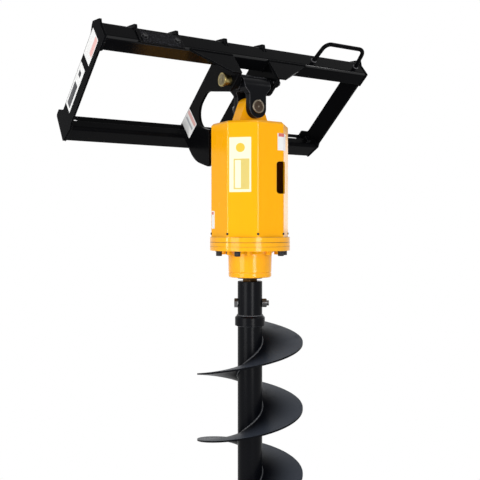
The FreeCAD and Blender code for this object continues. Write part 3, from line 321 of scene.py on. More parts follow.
def makeCoverPaint():
    # The eight upright folds shine more than the flats between them.
    look, shine = gloss["drivePaint"], coverGloss
    shader = Shader("coverPaint")
    base = paintBase(shader, look)
    normal = shader.facing()
    across = shader.part(normal, "X")
    square = across * across
    bearing = (square * square - square) * 8 + 1  # cosine of four times the face's bearing
    upwards = shader.part(normal, "Z").magnitude().step(*shine["upright"])
    fold = (1 - bearing.magnitude()).step(*shine["fold"]) * upwards
    coat = fold * (shine["folds"] - shine["flats"]) + shine["flats"]
    return coated(shader, look, base, coat, look["coatRough"])


metal = {  # colour, stain, bright rim, roughness
    "zinc": ((0.33, 0.26, 0.1), (0.09, 0.06, 0.022), (0.8, 0.74, 0.5), 0.24),
    "pinFace": ((0.06, 0.042, 0.03), (0.022, 0.014, 0.01), (0.2, 0.16, 0.12), 0.4),
    "pinRim": ((0.2, 0.17, 0.13), (0.05, 0.04, 0.03), (0.34, 0.3, 0.25), 0.18),
    "zincFace": ((0.2, 0.17, 0.095), (0.08, 0.062, 0.03), (0.5, 0.44, 0.26), 0.3),
    "greyBolt": ((0.13, 0.13, 0.135), (0.05, 0.048, 0.046), (0.6, 0.6, 0.6), 0.28),
    "steel": ((0.3, 0.3, 0.3), (0.1, 0.09, 0.08), (0.7, 0.7, 0.7), 0.3),
    "shaftSteel": ((0.032, 0.016, 0.005), (0.02, 0.009, 0.003), (0.3, 0.24, 0.18), 0.26),
    "bareWeld": ((0.1, 0.1, 0.105), (0.04, 0.038, 0.04), (0.4, 0.4, 0.4), 0.36),
}
metalGrain = {
    "edge": 0.8, "cloud": (45.0, 4.0, 0.65), "grain": (900.0, 2.0), "stainFrom": 0.42, "stainTo": 0.72,
    "stain": 0.75, "rim": 0.7, "stainRough": 0.22, "grainRough": 0.1, "bump": 0.25, "depth": 0.1,
}


def makeMetal(name):
    (clean, stain, rim, plain), wear = metal[name], metalGrain
    shader = Shader(name)
    soft, edge = shader.edges(wear["edge"] * mm)
    cloud = shader.noise(*wear["cloud"])
    grain = shader.noise(*wear["grain"])
    stained = cloud.step(wear["stainFrom"], wear["stainTo"])
    colour = shader.mix(stained * wear["stain"], clean, stain)
    colour = shader.mix(edge * wear["rim"], colour, rim)
    rough = stained * wear["stainRough"] + grain * wear["grainRough"] + plain
    bump = shader.bump(grain, wear["bump"], wear["depth"] * mm, soft)
    return shader.surface(Base_Color=colour, Metallic=1.0, Roughness=rough, Normal=bump)


blackBolt = {
    "edge": 0.6, "cloud": (120.0, 4.0, 0.6), "colour": (0.006, 0.006, 0.007), "worn": (0.12, 0.12, 0.13),
    "edgeWearAndHighlight": 0.5, "dustFrom": 0.55, "dustTo": 0.75, "dust": 0.15, "rough": 0.25, "level": 0.2,
}


def makeBlackBolt():
    look = blackBolt
    shader = Shader("blackBolt")
    soft, edge = shader.edges(look["edge"] * mm)
    cloud = shader.noise(*look["cloud"])
    # Lighter edges, partly wear and partly a painted highlight, and dust in clouds.
    worn = edge * look["edgeWearAndHighlight"] + cloud.step(look["dustFrom"], look["dustTo"]) * look["dust"]
    colour = shader.mix(worn, look["colour"], look["worn"])
    bump = shader.bump(cloud, 0.3, 0.1 * mm, soft)
    rough = cloud * look["rough"] + look["rough"]
    return shader.matt(colour, rough, bump, look["level"])


gritCoat = {
    "cells": 210.0, "specks": (230.0, 3.0, 0.7), "speckFrom": 0.5, "speckTo": 0.62, "cloud": (40.0, 3.0),
    "ground": (0.005, 0.005, 0.006), "speck": (0.055, 0.055, 0.066), "depth": 0.8, "rough": 0.62,
    "level": 0.1,
}


def makeGrit():
    # Rough anti-slip coat: dark ground with pale mineral specks.
    look = gritCoat
    shader = Shader("grit")
    links = {"Vector": shader.place(), "Scale": look["cells"]}
    cells = shader.node("TexVoronoi", links, "Distance", feature="F1")
    speck = shader.noise(*look["specks"]).step(look["speckFrom"], look["speckTo"])
    cloud = shader.noise(*look["cloud"])
    colour = shader.mix(speck * (0.35 + cloud * 0.6), look["ground"], look["speck"])
    bump = shader.bump(cells * 0.7 + speck * 0.5, 0.9, look["depth"] * mm)
    rough = look["rough"] + cloud * 0.3
    return shader.matt(colour, rough, bump, look["level"])


# Rubber and printed film: an even tone, a little dirt and a soft sheen.
rubber = {
    "cloud": (200.0, 3.0), "dirt": (0.5, 0.8), "share": 0.5, "rough": 0.5, "roughCloud": 0.2, "bump": 0.2,
    "depth": 0.1, "colour": (0.01, 0.01, 0.01), "dull": (0.035, 0.033, 0.03), "level": 0.2,
}
printed = {
    "cloud": (30.0, 4.0, 0.6), "dirt": (0.5, 0.85), "share": 0.4, "rough": 0.3, "roughCloud": 0.15,
    "bump": 0.1, "depth": 0.05, "fine": (600.0, 2.0), "dull": 0.8, "level": 0.2,
}


def makeEven(name, look, colour, dull):
    shader = Shader(name)
    cloud = shader.noise(*look["cloud"])
    relief = shader.noise(*look["fine"]) if "fine" in look else cloud
    colour = shader.mix(cloud.step(*look["dirt"]) * look["share"], colour, dull)
    bump = shader.bump(relief, look["bump"], look["depth"] * mm)
    rough = look["rough"] + cloud * look["roughCloud"]
    return shader.matt(colour, rough, bump, look["level"])


def makeLabel(name, tone):
    return makeEven(name, printed, tone, tuple(channel * printed["dull"] for channel in tone))


paintSlots = {
    "frame_paint": ("framePaint", "platePaint", "knucklePaint"),
    "drive_paint": ("drivePaint", "gearPaint"),
    "auger_paint": ("augerPaint", "weldPaint"),
    "motor_paint": ("motorPaint",),
}
metalSlots = {
    "zinc": ("zinc", "pinFace", "pinRim", "zincFace", "greyBolt"),
    "steel": ("steel", "shaftSteel", "bareWeld"),
}
labelSlots = {
    "drive_paint": {"jointLine": (0.16, 0.07, 0.01), "labelCream": (0.88, 0.84, 0.6),
                    "labelAmber": (0.88, 0.52, 0.05), "labelTan": (0.68, 0.54, 0.16)},
    "frame_paint": {"labelWhite": (0.83, 0.83, 0.82), "labelRed": (0.66, 0.17, 0.14),
                    "labelPink": (0.78, 0.46, 0.43), "labelGrey": (0.42, 0.43, 0.46),
                    "labelDark": (0.03, 0.03, 0.035)},
}
finishes = {  # material and the record's slot that it stands for
    "railPaint": (makeRailPaint(), "frame_paint"),
    "coverPaint": (makeCoverPaint(), "drive_paint"),
    "flightPaint": (makeFlightPaint(), "auger_paint"),
    "blackBolt": (makeBlackBolt(), "black_bolt"),
    "grit": (makeGrit(), "grit"),
    "sealRubber": (makeEven("sealRubber", rubber, rubber["colour"], rubber["dull"]), "seal_rubber"),
}
for slots, make in ((paintSlots, makePaint), (metalSlots, makeMetal)):
    for slotName, names in slots.items():
        finishes.update({name: (make(name), slotName) for name in names})
for slotName, tones in labelSlots.items():
    finishes.update({name: (makeLabel(name, tone), slotName) for name, tone in tones.items()})

slotFinish = {
    "frame_paint": "framePaint", "grit": "framePaint", "drive_paint": "drivePaint", "zinc": "zinc",
    "black_bolt": "blackBolt", "steel": "steel", "auger_paint": "augerPaint", "motor_paint": "motorPaint",
    "seal_rubber": "sealRubber",
}
specialNodes = {  # nodes whose finish differs from the rest of their slot
    "railPaint": ("top_rail",),
    "platePaint": ("side_plate_left", "side_plate_right"),
    "knucklePaint": ("knuckle_tube", "knuckle_ear_front", "knuckle_ear_rear"),
    "coverPaint": ("drive_cover",),
    "gearPaint": ("cover_flange", "ring_gear", "bearing_nose"),
    "shaftSteel": ("output_shaft",),
    "flightPaint": ("flight_1", "flight_2", "flight_3", "flight_4", "flight_lead"),
}
nodeFinish = {node: finish for finish, group in specialNodes.items() for node in group}
for part in frame["record"]["subparts"]:
    mesh = nodes[part["node"]].data
    mesh.materials.clear()
    mesh.materials.append(finishes[nodeFinish.get(part["node"], slotFinish[part["material_slot"]])][0])
print("finishes made:", len(finishes))


def addObject(name, data):
    made = bpy.data.objects.new(name, data)
    scene.collection.objects.link(made)
    return made


def addPiece(name, verts, faces, finish, body, sharp=35.0):
    mesh = bpy.data.meshes.new(name)
    mesh.from_pydata([tuple(vert) for vert in verts], [], faces)
    mesh.validate()
    mesh.shade_smooth()
    mesh.set_sharp_from_angle(angle=radians(sharp))
    piece = addObject(name, mesh)
    material, slotName = finishes[finish]
    mesh.materials.append(material)
    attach(piece, body)
    return piece


class Mesh:
    # Gathers vertices and faces of several shapes into one piece.
    def __init__(self):
        self.verts = []
        self.faces = []

    def add(self, verts, faces):
        start = len(self.verts)
        self.verts += verts
        self.faces += [tuple(start + index for index in face) for face in faces]

    def piece(self, name, finish, body, sharp=35.0):
        return addPiece(name, self.verts, self.faces, finish, body, sharp)


def axes(along):
    # Two unit vectors square to the given direction.
    along = along.normalized()
    side = along.orthogonal().normalized()
    return side, along.cross(side)


def resample(points, step, closed):
    # Evenly spaced points along straight runs.
    route = list(points) + ([points[0]] if closed else [])
    lengths = [(b - a).length for a, b in zip(route, route[1:])]
    total = sum(lengths)
    count = max(2, round(total / step))
    spots, leg, done = [], 0, 0.0
    for index in range(count + (0 if closed else 1)):
        target = total * index / count
        while leg < len(lengths) - 1 and done + lengths[leg] < target:
            done += lengths[leg]
            leg += 1
        share = (target - done) / max(lengths[leg], 1e-9)
        spots.append(route[leg].lerp(route[leg + 1], min(share, 1)))
    return spots


def tubeFaces(rings, sides, closed=False):
    # Faces between rings of points, capped at both ends unless the tube closes on itself.
    faces = []
    for ring in range(rings if closed else rings - 1):
        near, far = ring * sides, (ring + 1) % rings * sides
        for turn in range(sides):
            after = (turn + 1) % sides
            faces.append((near + turn, near + after, far + after, far + turn))
    if not closed:
        faces.append(tuple(range(sides))[::-1])
        faces.append(tuple((rings - 1) * sides + turn for turn in range(sides)))
    return faces


weldShape = {"ripple": 3.4 * mm, "steps": 4, "sides": 8, "wave": 0.16, "wander": 0.1, "end": 0.4}


def weld(gather, points, radius, closed=False):
    # Rippled weld bead along a line; half of it is sunk in the corner that it fills.
    look = weldShape
    spots = resample(points, look["ripple"] / look["steps"], closed)
    last = len(spots) - 1
    verts, side = [], None
    for index, spot in enumerate(spots):
        ahead = spots[(index + 1) % len(spots)] if closed else spots[min(index + 1, last)]
        behind = spots[index - 1] if closed else spots[max(index - 1, 0)]
        along = (ahead - behind).normalized()
        side = axes(along)[0] if side is None else (side - along * side.dot(along)).normalized()
        other = along.cross(side)
        phase = (index % look["steps"]) / look["steps"]
        size = radius * mm * (1 - look["wave"] * phase + look["wander"] * (random.random() - 0.5))
        if not closed:
            size *= min(1, look["end"] + min(index, last - index) / look["steps"])
        for turn in range(look["sides"]):
            angle = 2 * pi * turn / look["sides"]
            verts.append(spot + (side * cos(angle) + other * sin(angle)) * size)
    gather.add(verts, tubeFaces(len(spots), look["sides"], closed))


nearAxis = 0.1  # a turned shape's face closes at this radius


def lathe(gather, centre, along, profile, segments, shape=None):
    # Turned shape from (height, radius) pairs; shape may change the radius by angle.
    along = along.normalized()
    side, other = axes(along)
    verts = []
    for height, radius in profile:
        for index in range(segments):
            angle = 2 * pi * index / segments
            size = shape(angle, height, radius) if shape else radius
            outward = side * cos(angle) + other * sin(angle)
            verts.append(centre + (along * height + outward * size) * mm)
    gather.add(verts, tubeFaces(len(profile), segments))


def hexagon(flats, turn):
    # Radius of a hexagon at an angle, never more than the radius it is given.
    def shape(angle, height, radius):
        wedge = (angle - radians(turn)) % (pi / 3) - pi / 6
        return min(flats / 2 / cos(wedge), radius)
    return shape


hexShape = {
    "foot": 0.97, "footHeight": 0.08, "shoulder": 0.8, "bevelHeight": 0.93, "bevel": 0.93, "dishEdge": 0.4,
    "dishFloor": 0.36,
}


def hexHead(gather, centre, along, flats, height, turn=0.0, dish=0.0):
    # Chamfered bolt head or nut; dish sinks the middle of its outer face.
    look = hexShape
    corner = flats / 2 / cos(pi / 6)
    profile = [(0, corner * look["foot"]), (height * look["footHeight"], corner)]
    profile += [(height * look["shoulder"], corner), (height * look["bevelHeight"], corner * look["bevel"])]
    profile += [(height, flats / 2 * look["bevel"]), (height, flats * look["dishEdge"])]
    profile += [(height - dish, flats * look["dishFloor"]), (height - dish, nearAxis)]
    lathe(gather, centre, along, profile, 48, hexagon(flats, turn))


threadShape = {"rows": 4, "depth": 0.6, "chamfer": 1.4, "tip": 1.0}


def thread(gather, centre, along, radius, length, pitch):
    # Threaded end with a chamfered tip.
    look = threadShape
    rows = int(length / pitch * look["rows"])
    profile = [(length * row / rows, radius) for row in range(rows + 1)]
    profile += [(length + look["tip"], radius - look["chamfer"]), (length + look["tip"], nearAxis)]

    def shape(angle, height, size):
        if height > length:
            return size
        turn = (height / pitch + angle / (2 * pi)) % 1
        return size - look["depth"] * abs(2 * turn - 1) * min(1, pitch / 2)
    lathe(gather, centre, along, profile, 32, shape)


washerShape = {"bevel": 0.75, "round": 0.3}


def washer(gather, centre, along, radius, bore, thick):
    bevel, small = thick * washerShape["bevel"], radius - thick * washerShape["round"]
    profile = [(0, bore), (0, radius), (bevel, radius), (thick, small), (thick, bore)]
    lathe(gather, centre, along, profile, 36)


filmShape = {"sunk": 0.15, "shoulder": 0.6, "bevel": 0.3, "arc": 4}


def film(name, finish, body, place, sides, ends, lift, rounding):
    # Rounded label on a flat face; place gives the point for a side and an end.
    look = filmShape
    corner = place(sides[0], ends[0])
    across, down = place(sides[1], ends[0]) - corner, place(sides[0], ends[1]) - corner
    wide, high = across.length, down.length
    across, down = across.normalized(), down.normalized()
    normal = down.cross(across).normalized()
    size = min(rounding * mm, wide / 2.01, high / 2.01)
    right, top = wide - size, high - size
    corners = ((right, size, -90), (right, top, 0), (size, top, 90), (size, size, 180))
    outline = [beside((x, y), size, start + index * 90 / look["arc"])
               for x, y, start in corners for index in range(look["arc"] + 1)]
    verts, count = [], len(outline)
    bevel = look["bevel"] * mm
    for height, shrink in ((-look["sunk"] * mm, 0), (lift * mm * look["shoulder"], 0), (lift * mm, bevel)):
        for x, y in outline:
            x = min(max(x, shrink), wide - shrink)
            y = min(max(y, shrink), high - shrink)
            verts.append(corner + across * x + down * y + normal * height)
    faces = [tuple(range(count)), tuple(2 * count + index for index in range(count))[::-1]]
    for level in (0, count):
        for index in range(count):
            a, b = level + index, level + (index + 1) % count
            faces.append((a, a + count, b + count, b))
    addPiece(name, verts, faces, finish, body)


frameShape = {
    "width": 1130.0, "sideSheet": 8.0, "height": 486.0, "railFace": 54.0, "sheet": 8.0, "hitchX": 83.0,
    "hitchSheet": 12.0, "wingReach": 251.0, "wingBack": -93.0, "bottomFace": 82.0,
}
lowEdge = frameShape["bottomFace"] - frameShape["height"]
foot = -frameShape["height"]
railFoot = -frameShape["railFace"]
frameSeams = {  # bead radius, then (y, z) points of its line
    "wing": ((4.0, (frameShape["wingBack"], -9), (0, -9)), (3.4, (frameShape["wingBack"], -9), (0, -9))),
    "hitch": ((4.0, (0, -12), (0, railFoot), (8, railFoot)), (3.6, (8, -8), (58, -8)),
              (4.0, (0, lowEdge), (40, lowEdge)), (3.6, (0, lowEdge - 2), (7, lowEdge - 24)),
              (3.0, (50, 0), (72, 0), (100, -27))),
    "end": ((3.2, (0, -2), (0.5, -2.5)), (3.2, (0, railFoot + 1), (0.5, railFoot + 0.5)),
            (4.2, (0, -3), (0, railFoot), (8, railFoot)), (3.8, (8, -8), (66, -8)),
            (3.6, (3, 0), (71, 0), (108, -37)), (4.0, (40, lowEdge), (2, lowEdge), (17, foot + 2)),
            (3.8, (19, foot + 9), (133, foot + 22))),
    "tread": (2.6, (60, 0), (72, 0), (100, -27)),
}
treadRibs = (-441.0, -431.0, -286.0, -276.0)
hitchInner = frameShape["hitchX"] - frameShape["hitchSheet"] / 2
hitchOuter = frameShape["hitchX"] + frameShape["hitchSheet"] / 2


def line(place, *points):
    return [place(*point) for point in points]


def frameWelds():
    beads = Mesh()
    side = frameShape["width"] / 2 - frameShape["sideSheet"]
    reach = frameShape["wingReach"]

    def seam(x, radius, *points):
        weld(beads, [upright(x, y, z) for y, z in points], radius)

    for sign in (-1, 1):
        weld(beads, line(upright, (sign * reach, -0.5, -1), (sign * hitchInner, -0.5, -1)), 3.4)
        for x, bead in zip((hitchOuter, hitchInner), frameSeams["wing"]):
            seam(sign * x, *bead)
        for x in (hitchInner, hitchOuter):
            for bead in frameSeams["hitch"]:
                seam(sign * x, *bead)
        for bead in frameSeams["end"]:
            seam(sign * side, *bead)
    for x in treadRibs:
        seam(x, *frameSeams["tread"])
    beads.piece("frameWelds", "framePaint", "coupler_frame", 60)


frameWelds()

# Beads round the two feet of the handle's rod.
handle = {"left": 305.0, "span": 214.0, "back": 38.0, "rod": 16.0, "beadOut": 1.2, "beadUp": 0.8, "bead": 3.4}


def handleWelds():
    beads = Mesh()
    radius = handle["rod"] / 2 + handle["beadOut"]
    for x in (handle["left"], handle["left"] + handle["span"]):
        spots = [beside((x, handle["back"]), radius, step * 15) for step in range(24)]
        weld(beads, [upright(*spot, handle["beadUp"]) for spot in spots], handle["bead"], closed=True)
    beads.piece("handleWelds", "bareWeld", "coupler_frame", 60)


handleWelds()

tread = {
    "left": -441.0, "long": 165.0, "front": -10.0, "back": 58.0, "sheet": 5.0, "boltInset": 22.0,
    "boltBack": 21.0, "margin": 4.0, "side": 8.0, "columns": 66, "rows": 28, "bed": 0.9, "rough": 0.7,
    "shake": 0.5, "grains": 2600,
}


def gritPad():
    # Anti-slip pad: a thin bed with grains pressed into it.
    look = tread
    bed = Mesh()
    inset = look["margin"] + look["side"]
    low, high = look["left"] + inset, look["left"] + look["long"] - inset
    front, back = look["front"] + look["margin"], look["back"] - look["margin"]
    columns, rows, shake = look["columns"], look["rows"], look["shake"]
    verts = []
    for row in range(rows + 1):
        for column in range(columns + 1):
            edge = row in (0, rows) or column in (0, columns)
            rise = -0.1 if edge else look["bed"] + random.random() * look["rough"]
            x = low + (high - low) * column / columns + (0 if edge else random.uniform(-shake, shake))
            y = front + (back - front) * row / rows + (0 if edge else random.uniform(-shake, shake))
            verts.append(upright(x, y, look["sheet"] + rise))
    wide = columns + 1
    starts = [row * wide + column for row in range(rows) for column in range(columns)]
    bed.add(verts, [(start, start + 1, start + wide + 1, start + wide) for start in starts])
    for _ in range(look["grains"]):
        x, y = random.uniform(low + 1, high - 1), random.uniform(front + 1, back - 1)
        size = random.uniform(0.5, 1.25)
        tip = look["sheet"] + 1.1 + size * random.uniform(0.7, 1.2)
        spin = random.uniform(0, 2)
        turns = [spin + corner * 2.1 for corner in range(3)]
        base = [(x + size * cos(turn), y + size * sin(turn)) for turn in turns]
        base = [upright(*spot, look["sheet"] + 0.6) for spot in base]
        peak = upright(x + random.uniform(-0.3, 0.3), y, tip)
        bed.add(base + [peak], [(0, 1, 3), (1, 2, 3), (2, 0, 3)])
    bed.piece("treadGrit", "grit", "coupler_frame", 20)


gritPad()

boltM12 = {
    "flats": 18.0, "head": 7.2, "nut": 8.5, "shank": 5.9, "bore": 6.5, "pitch": 1.75, "dish": 0.5,
    "washer": 12.5, "washerThick": 2.2, "lowWasher": 12.0, "lowThick": 2.0, "tailFrom": 10.0, "tail": 6.0,
}


def treadBolts():
    look = boltM12
    bolts = Mesh()
    up = tiltTurn @ Vector((0, 0, 1))
    for x in (tread["left"] + tread["boltInset"], tread["left"] + tread["long"] - tread["boltInset"]):
        top = upright(x, tread["boltBack"], tread["sheet"])
        under = upright(x, tread["boltBack"], -frameShape["sheet"])
        washer(bolts, top, up, look["washer"], look["bore"], look["washerThick"])
        hexHead(bolts, top + up * look["washerThick"] * mm, up, look["flats"], look["head"], 12, look["dish"])
        washer(bolts, under, -up, look["lowWasher"], look["bore"], look["lowThick"])
        hexHead(bolts, under - up * look["lowThick"] * mm, -up, look["flats"], look["nut"], 30)
        thread(bolts, under - up * look["tailFrom"] * mm, -up, look["shank"], look["tail"], look["pitch"])
    piece = bolts.piece("treadBolts", "blackBolt", "coupler_frame")
    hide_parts("tread_bolts")


treadBolts()

keeper = {"washerThick": 1.6, "turn": 8, "long": 18.0, "chamfer": 1.0, "tip": 0.9}


def keeperBolt():
    look = boltM12
    low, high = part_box("keeper_bolt")
    spot = Vector((high.x - look["head"] * mm, (low.y + high.y) / 2, (low.z + high.z) / 2))
    bolt = Mesh()
    out = Vector((1, 0, 0))
    thick, long, radius = keeper["washerThick"], keeper["long"], look["shank"]
    washer(bolt, spot, out, look["lowWasher"], look["bore"], thick)
    hexHead(bolt, spot + out * thick * mm, out, look["flats"], look["head"], keeper["turn"], look["dish"])
    profile = [(0, radius), (long - keeper["chamfer"], radius), (long, radius - keeper["tip"]),
               (long, nearAxis)]
    lathe(bolt, spot, -out, profile, 24)
    piece = bolt.piece("keeperBolt", "greyBolt", "coupler_frame")
    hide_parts("keeper_bolt")


keeperBolt()

# Blank printed panels: finish, back and front edges, top and bottom edges, height off the face.
sidePanels = {
    "sideLabelUpper": ("labelWhite", (98, 30), (-42, -150), 0.02),
    "sideLabelUpperBand": ("labelPink", (58, 34), (-46, -118), 0.04),
    "sideLabelLower": ("labelWhite", (98, 44), (-182, -374), 0.02),
    "sideLabelLowerBlock": ("labelDark", (88, 56), (-262, -362), 0.04),
    "sideLabelLowerSquare": ("labelDark", (84, 62), (-208, -230), 0.04),
}
hitchPanels = {
    "hitchLabel": ("labelWhite", (74, -14), (-324, -401), 0.4),
    "hitchLabelBand": ("labelPink", (70, -10), (-328, -344), 0.6),
    "hitchLabelBlock": ("labelGrey", (66, -4), (-356, -366), 0.6),
}


def frameLabels():
    for face, panels in ((-frameShape["width"] / 2, sidePanels), (-hitchOuter, hitchPanels)):
        for name, (finish, sides, ends, lift) in panels.items():
            film(name, finish, "coupler_frame", lambda y, z: upright(face, y, z), sides, ends, lift, 2.0)


frameLabels()
print("frame dressed")

knuckle = {
    "reach": 55.5, "tube": 27.0, "earTop": 18.0, "crotch": -34.0, "pin": 38.0, "pinHead": 25.0,
    "pinFace": 19.0, "headEnd": 121.0, "headSheet": 8.0, "tailEnd": 101.0, "lowerHead": 5.0, "thread": 26.0,
    "threadPitch": 3.0, "nut": 55.0, "earBead": 3.2, "crotchBead": 3.0, "chamfer": 1.6, "lowerChamfer": 3.6,
    "threadIn": 2.4, "threadMore": 1.4, "threadPlay": 0.05,
}


def knuckleWelds():
    look = knuckle
    beads = Mesh()
    reach, top = look["reach"] - 0.5, look["earTop"]
    seat = sqrt(look["tube"] ** 2 - top ** 2)
    ear, crotch = look["earBead"], look["crotchBead"]
    for y, z, bead in ((-seat, top, ear), (seat, top, ear), (0, look["crotch"], crotch)):
        weld(beads, line(hanging, (-reach, y, z), (reach, y, z)), bead)
    beads.piece("knuckleWelds", "knucklePaint", "knuckle", 60)


knuckleWelds()

pinEnd = {
    "seat": 0.8, "seatRim": 0.6, "fillet": 1.0, "tip": 2.5, "hole": 3.6, "drill": 2.4, "lip": 0.9,
    "deep": 2.2,
}


def turnedPin(gather, centre, out, long, headThick, chamfer):
    # Headed pin from the plane of its head; a shallow seat in the head holds the face.
    look = pinEnd
    radius, headRadius, faceRadius = knuckle["pin"] / 2, knuckle["pinHead"], knuckle["pinFace"]
    quarter = [radians(step * 22.5) for step in range(5)]
    rim = [(chamfer * (cos(turn) - 1), headRadius + chamfer * (sin(turn) - 1)) for turn in quarter]
    seat = [(-look["seat"], nearAxis), (-look["seat"], faceRadius), (0, faceRadius + look["seatRim"])]
    under = [(look["seat"] - headThick, headRadius), (-headThick, headRadius - look["seat"])]
    under += [(-headThick, radius + look["fillet"]), (-headThick - look["fillet"], radius)]
    end = [(look["tip"] - long, radius), (-long, radius - look["tip"]), (-long, look["hole"])]
    end += [(look["lip"] - long, look["drill"]), (look["deep"] - long, nearAxis)]
    lathe(gather, centre, out, seat + rim + under + end, 64)


faceMarks = {"from": 4.6, "step": 1.1, "margin": 5, "depth": -0.62, "ridge": 0.1, "flat": -0.6, "sunk": -0.9}


def turnedFace(gather, centre, out):
    # Centre hole and fine turning marks.
    look = faceMarks
    radius = knuckle["pinFace"]
    rows = range(int((radius - look["margin"]) / look["step"]))
    marks = [(look["depth"] + look["ridge"] * (row % 2), look["from"] + row * look["step"]) for row in rows]
    hole = [(-3.0, nearAxis), (-1.6, pinEnd["drill"]), (look["flat"], pinEnd["hole"])]
    edge = [(look["flat"], radius - 0.1), (look["sunk"], radius)]
    lathe(gather, centre, out, hole + marks + edge, 64)


def pins():
    look = knuckle
    upper, upperFace = Mesh(), Mesh()
    left = Vector((-1, 0, 0))
    spot = hanging(-look["headEnd"], 0, 0)
    turnedPin(upper, spot, left, look["headEnd"] + look["tailEnd"], look["headSheet"], look["chamfer"])
    piece = upper.piece("upperPin", "zinc", "coupler_frame")
    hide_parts("upper_pin")
    turnedFace(upperFace, spot, left)
    upperFace.piece("upperPinFace", "zincFace", "coupler_frame")
    low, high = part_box("lower_pin")
    lower, lowerFace = Mesh(), Mesh()
    forward = Vector((0, -1, 0))
    spot = Vector((0, low.y, (low.z + high.z) / 2))
    bare = (high.y - low.y) / mm - look["thread"]
    turnedPin(lower, spot, forward, bare, look["lowerHead"], look["lowerChamfer"])
    start = spot - forward * (bare - look["threadIn"]) * mm
    radius, long = look["pin"] / 2 - look["threadPlay"], look["thread"] + look["threadMore"]
    thread(lower, start, -forward, radius, long, look["threadPitch"])
    piece = lower.piece("lowerPin", "pinRim", "knuckle")
    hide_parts("lower_pin")
    turnedFace(lowerFace, spot, forward)
    lowerFace.piece("lowerPinFace", "pinFace", "knuckle")
    low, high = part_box("lower_nut")
    nut = Mesh()
    hexHead(nut, Vector((0, low.y, spot.z)), -forward, look["nut"], (high.y - low.y) / mm)
    piece = nut.piece("lowerNut", "greyBolt", "knuckle")
    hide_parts("lower_nut")


pins()

drive = {
    "flats": 262.0, "bend": 10.0, "top": -151.0, "bottom": -556.0, "lugFoot": 131.0, "lugThick": 50.0,
    "flange": 288.0, "band": -574.0, "nose": -589.0, "noseBody": -604.0, "screwCircle": 252.0,
    "screwPhase": 176.0, "screwPairs": 3, "screwStep": 40.0, "screw": 14.0, "screwHead": 18.0, "grips": 30,
    "gripDepth": 0.24, "noseBolts": 8, "noseBolt": 19.0, "noseBoltHead": 15.0, "noseBoltCircle": 194.0,
    "noseBoltPhase": -171.4, "lugBead": 4.2, "screwUp": 12, "screwSunk": 1.0,
}


def facetPoint(facet, across, z):
    # Point on a flat of the cover; across runs to its right seen from outside.
    return hanging(*beside(around(drive["flats"] / 2, facet), across, facet + 90), z)


def lugWelds():
    beads = Mesh()
    look = drive
    a, b, z = look["lugFoot"] / 2, look["lugThick"] / 2, look["top"]
    weld(beads, line(hanging, (-a, -b, z), (a, -b, z), (a, b, z), (-a, b, z)), look["lugBead"], closed=True)
    beads.piece("lugWelds", "drivePaint", "drive", 60)


lugWelds()


def flangeScrews():
    screws, plugs = Mesh(), Mesh()
    look = drive
    down = Vector((0, 0, -1))
    size, high = look["screw"], look["screwHead"]
    head = 0.75 * size

    def knurl(angle, height, radius):
        gripped = 3 < height < high - 1.5 and radius > head - 0.2
        return radius - look["gripDepth"] * (1 + cos(angle * look["grips"])) * gripped

    profile = [(2.4, head * 0.97), (3.0, head)] + [(3 + row * 1.4, head) for row in range(1, 10)]
    profile += [(high - 0.9, head), (high + 0.2, head - 1.1), (high + 0.2, 0.5 * size)]
    profile += [(high - 7, 0.46 * size), (high - 7, nearAxis)]
    for pair in range(look["screwPairs"]):
        for step in (0, look["screwStep"]):
            angle = look["screwPhase"] + 360 * pair / look["screwPairs"] + step
            spot = hanging(*around(look["screwCircle"] / 2, angle, look["noseBody"]))
            washer(screws, spot, down, 0.95 * size, 0.5 * size, 2.4)
            lathe(screws, spot, down, profile, 60, knurl)
    piece = screws.piece("flangeScrews", "blackBolt", "drive")
    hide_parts("flange_screws")
    for index in range(look["noseBolts"]):
        angle = look["noseBoltPhase"] + index * 360 / look["noseBolts"]
        spot = hanging(*around(look["noseBoltCircle"] / 2, angle, look["noseBody"]))
        hexHead(plugs, spot, down, look["noseBolt"], look["noseBoltHead"], 15 * index, dish=0.8)
    plugs.piece("noseBolts", "drivePaint", "drive")


flangeScrews()

# Joint lines: height, how far inside the flange's rim, width.
joints = ((drive["bottom"], 1.5, 1.0), (drive["band"], 0, 1.8), (drive["nose"], 0, 1.0))
jointLine = {"sunk": 2, "proud": 0.15}


def flangeSeams():
    # Dark lines between the three flange layers and under the cover.
    seams = Mesh()
    for z, inset, wide in joints:
        radius = drive["flange"] / 2 - inset
        deep, skin = radius - jointLine["sunk"], radius + jointLine["proud"]
        section = [(0, deep), (0, skin), (wide, skin), (wide, deep)]
        lathe(seams, hanging(0, 0, z - wide / 2), Vector((0, 0, 1)), section, 96)
    seams.piece("flangeSeams", "jointLine", "drive")


flangeSeams()

screwDome = ((0, 4.4), (1.8, 4.4), (2.8, 3.8), (3.3, 2.6), (3.3, 1.7), (2.0, 1.5), (2.0, nearAxis))


def coverScrews():
    # One domed screw at the foot of each fold.
    screws = Mesh()
    look = drive
    lean = cos(pi / 8)
    corner = look["flats"] / 2 / lean - look["bend"] * (1 / lean - 1)
    for index in range(8):
        angle = 22.5 + index * 45
        spot = hanging(*around(corner - look["screwSunk"], angle, look["bottom"] + look["screwUp"]))
        lathe(screws, spot, Vector(around(1, angle)), screwDome, 24)
    screws.piece("coverScrews", "blackBolt", "drive")


coverScrews()


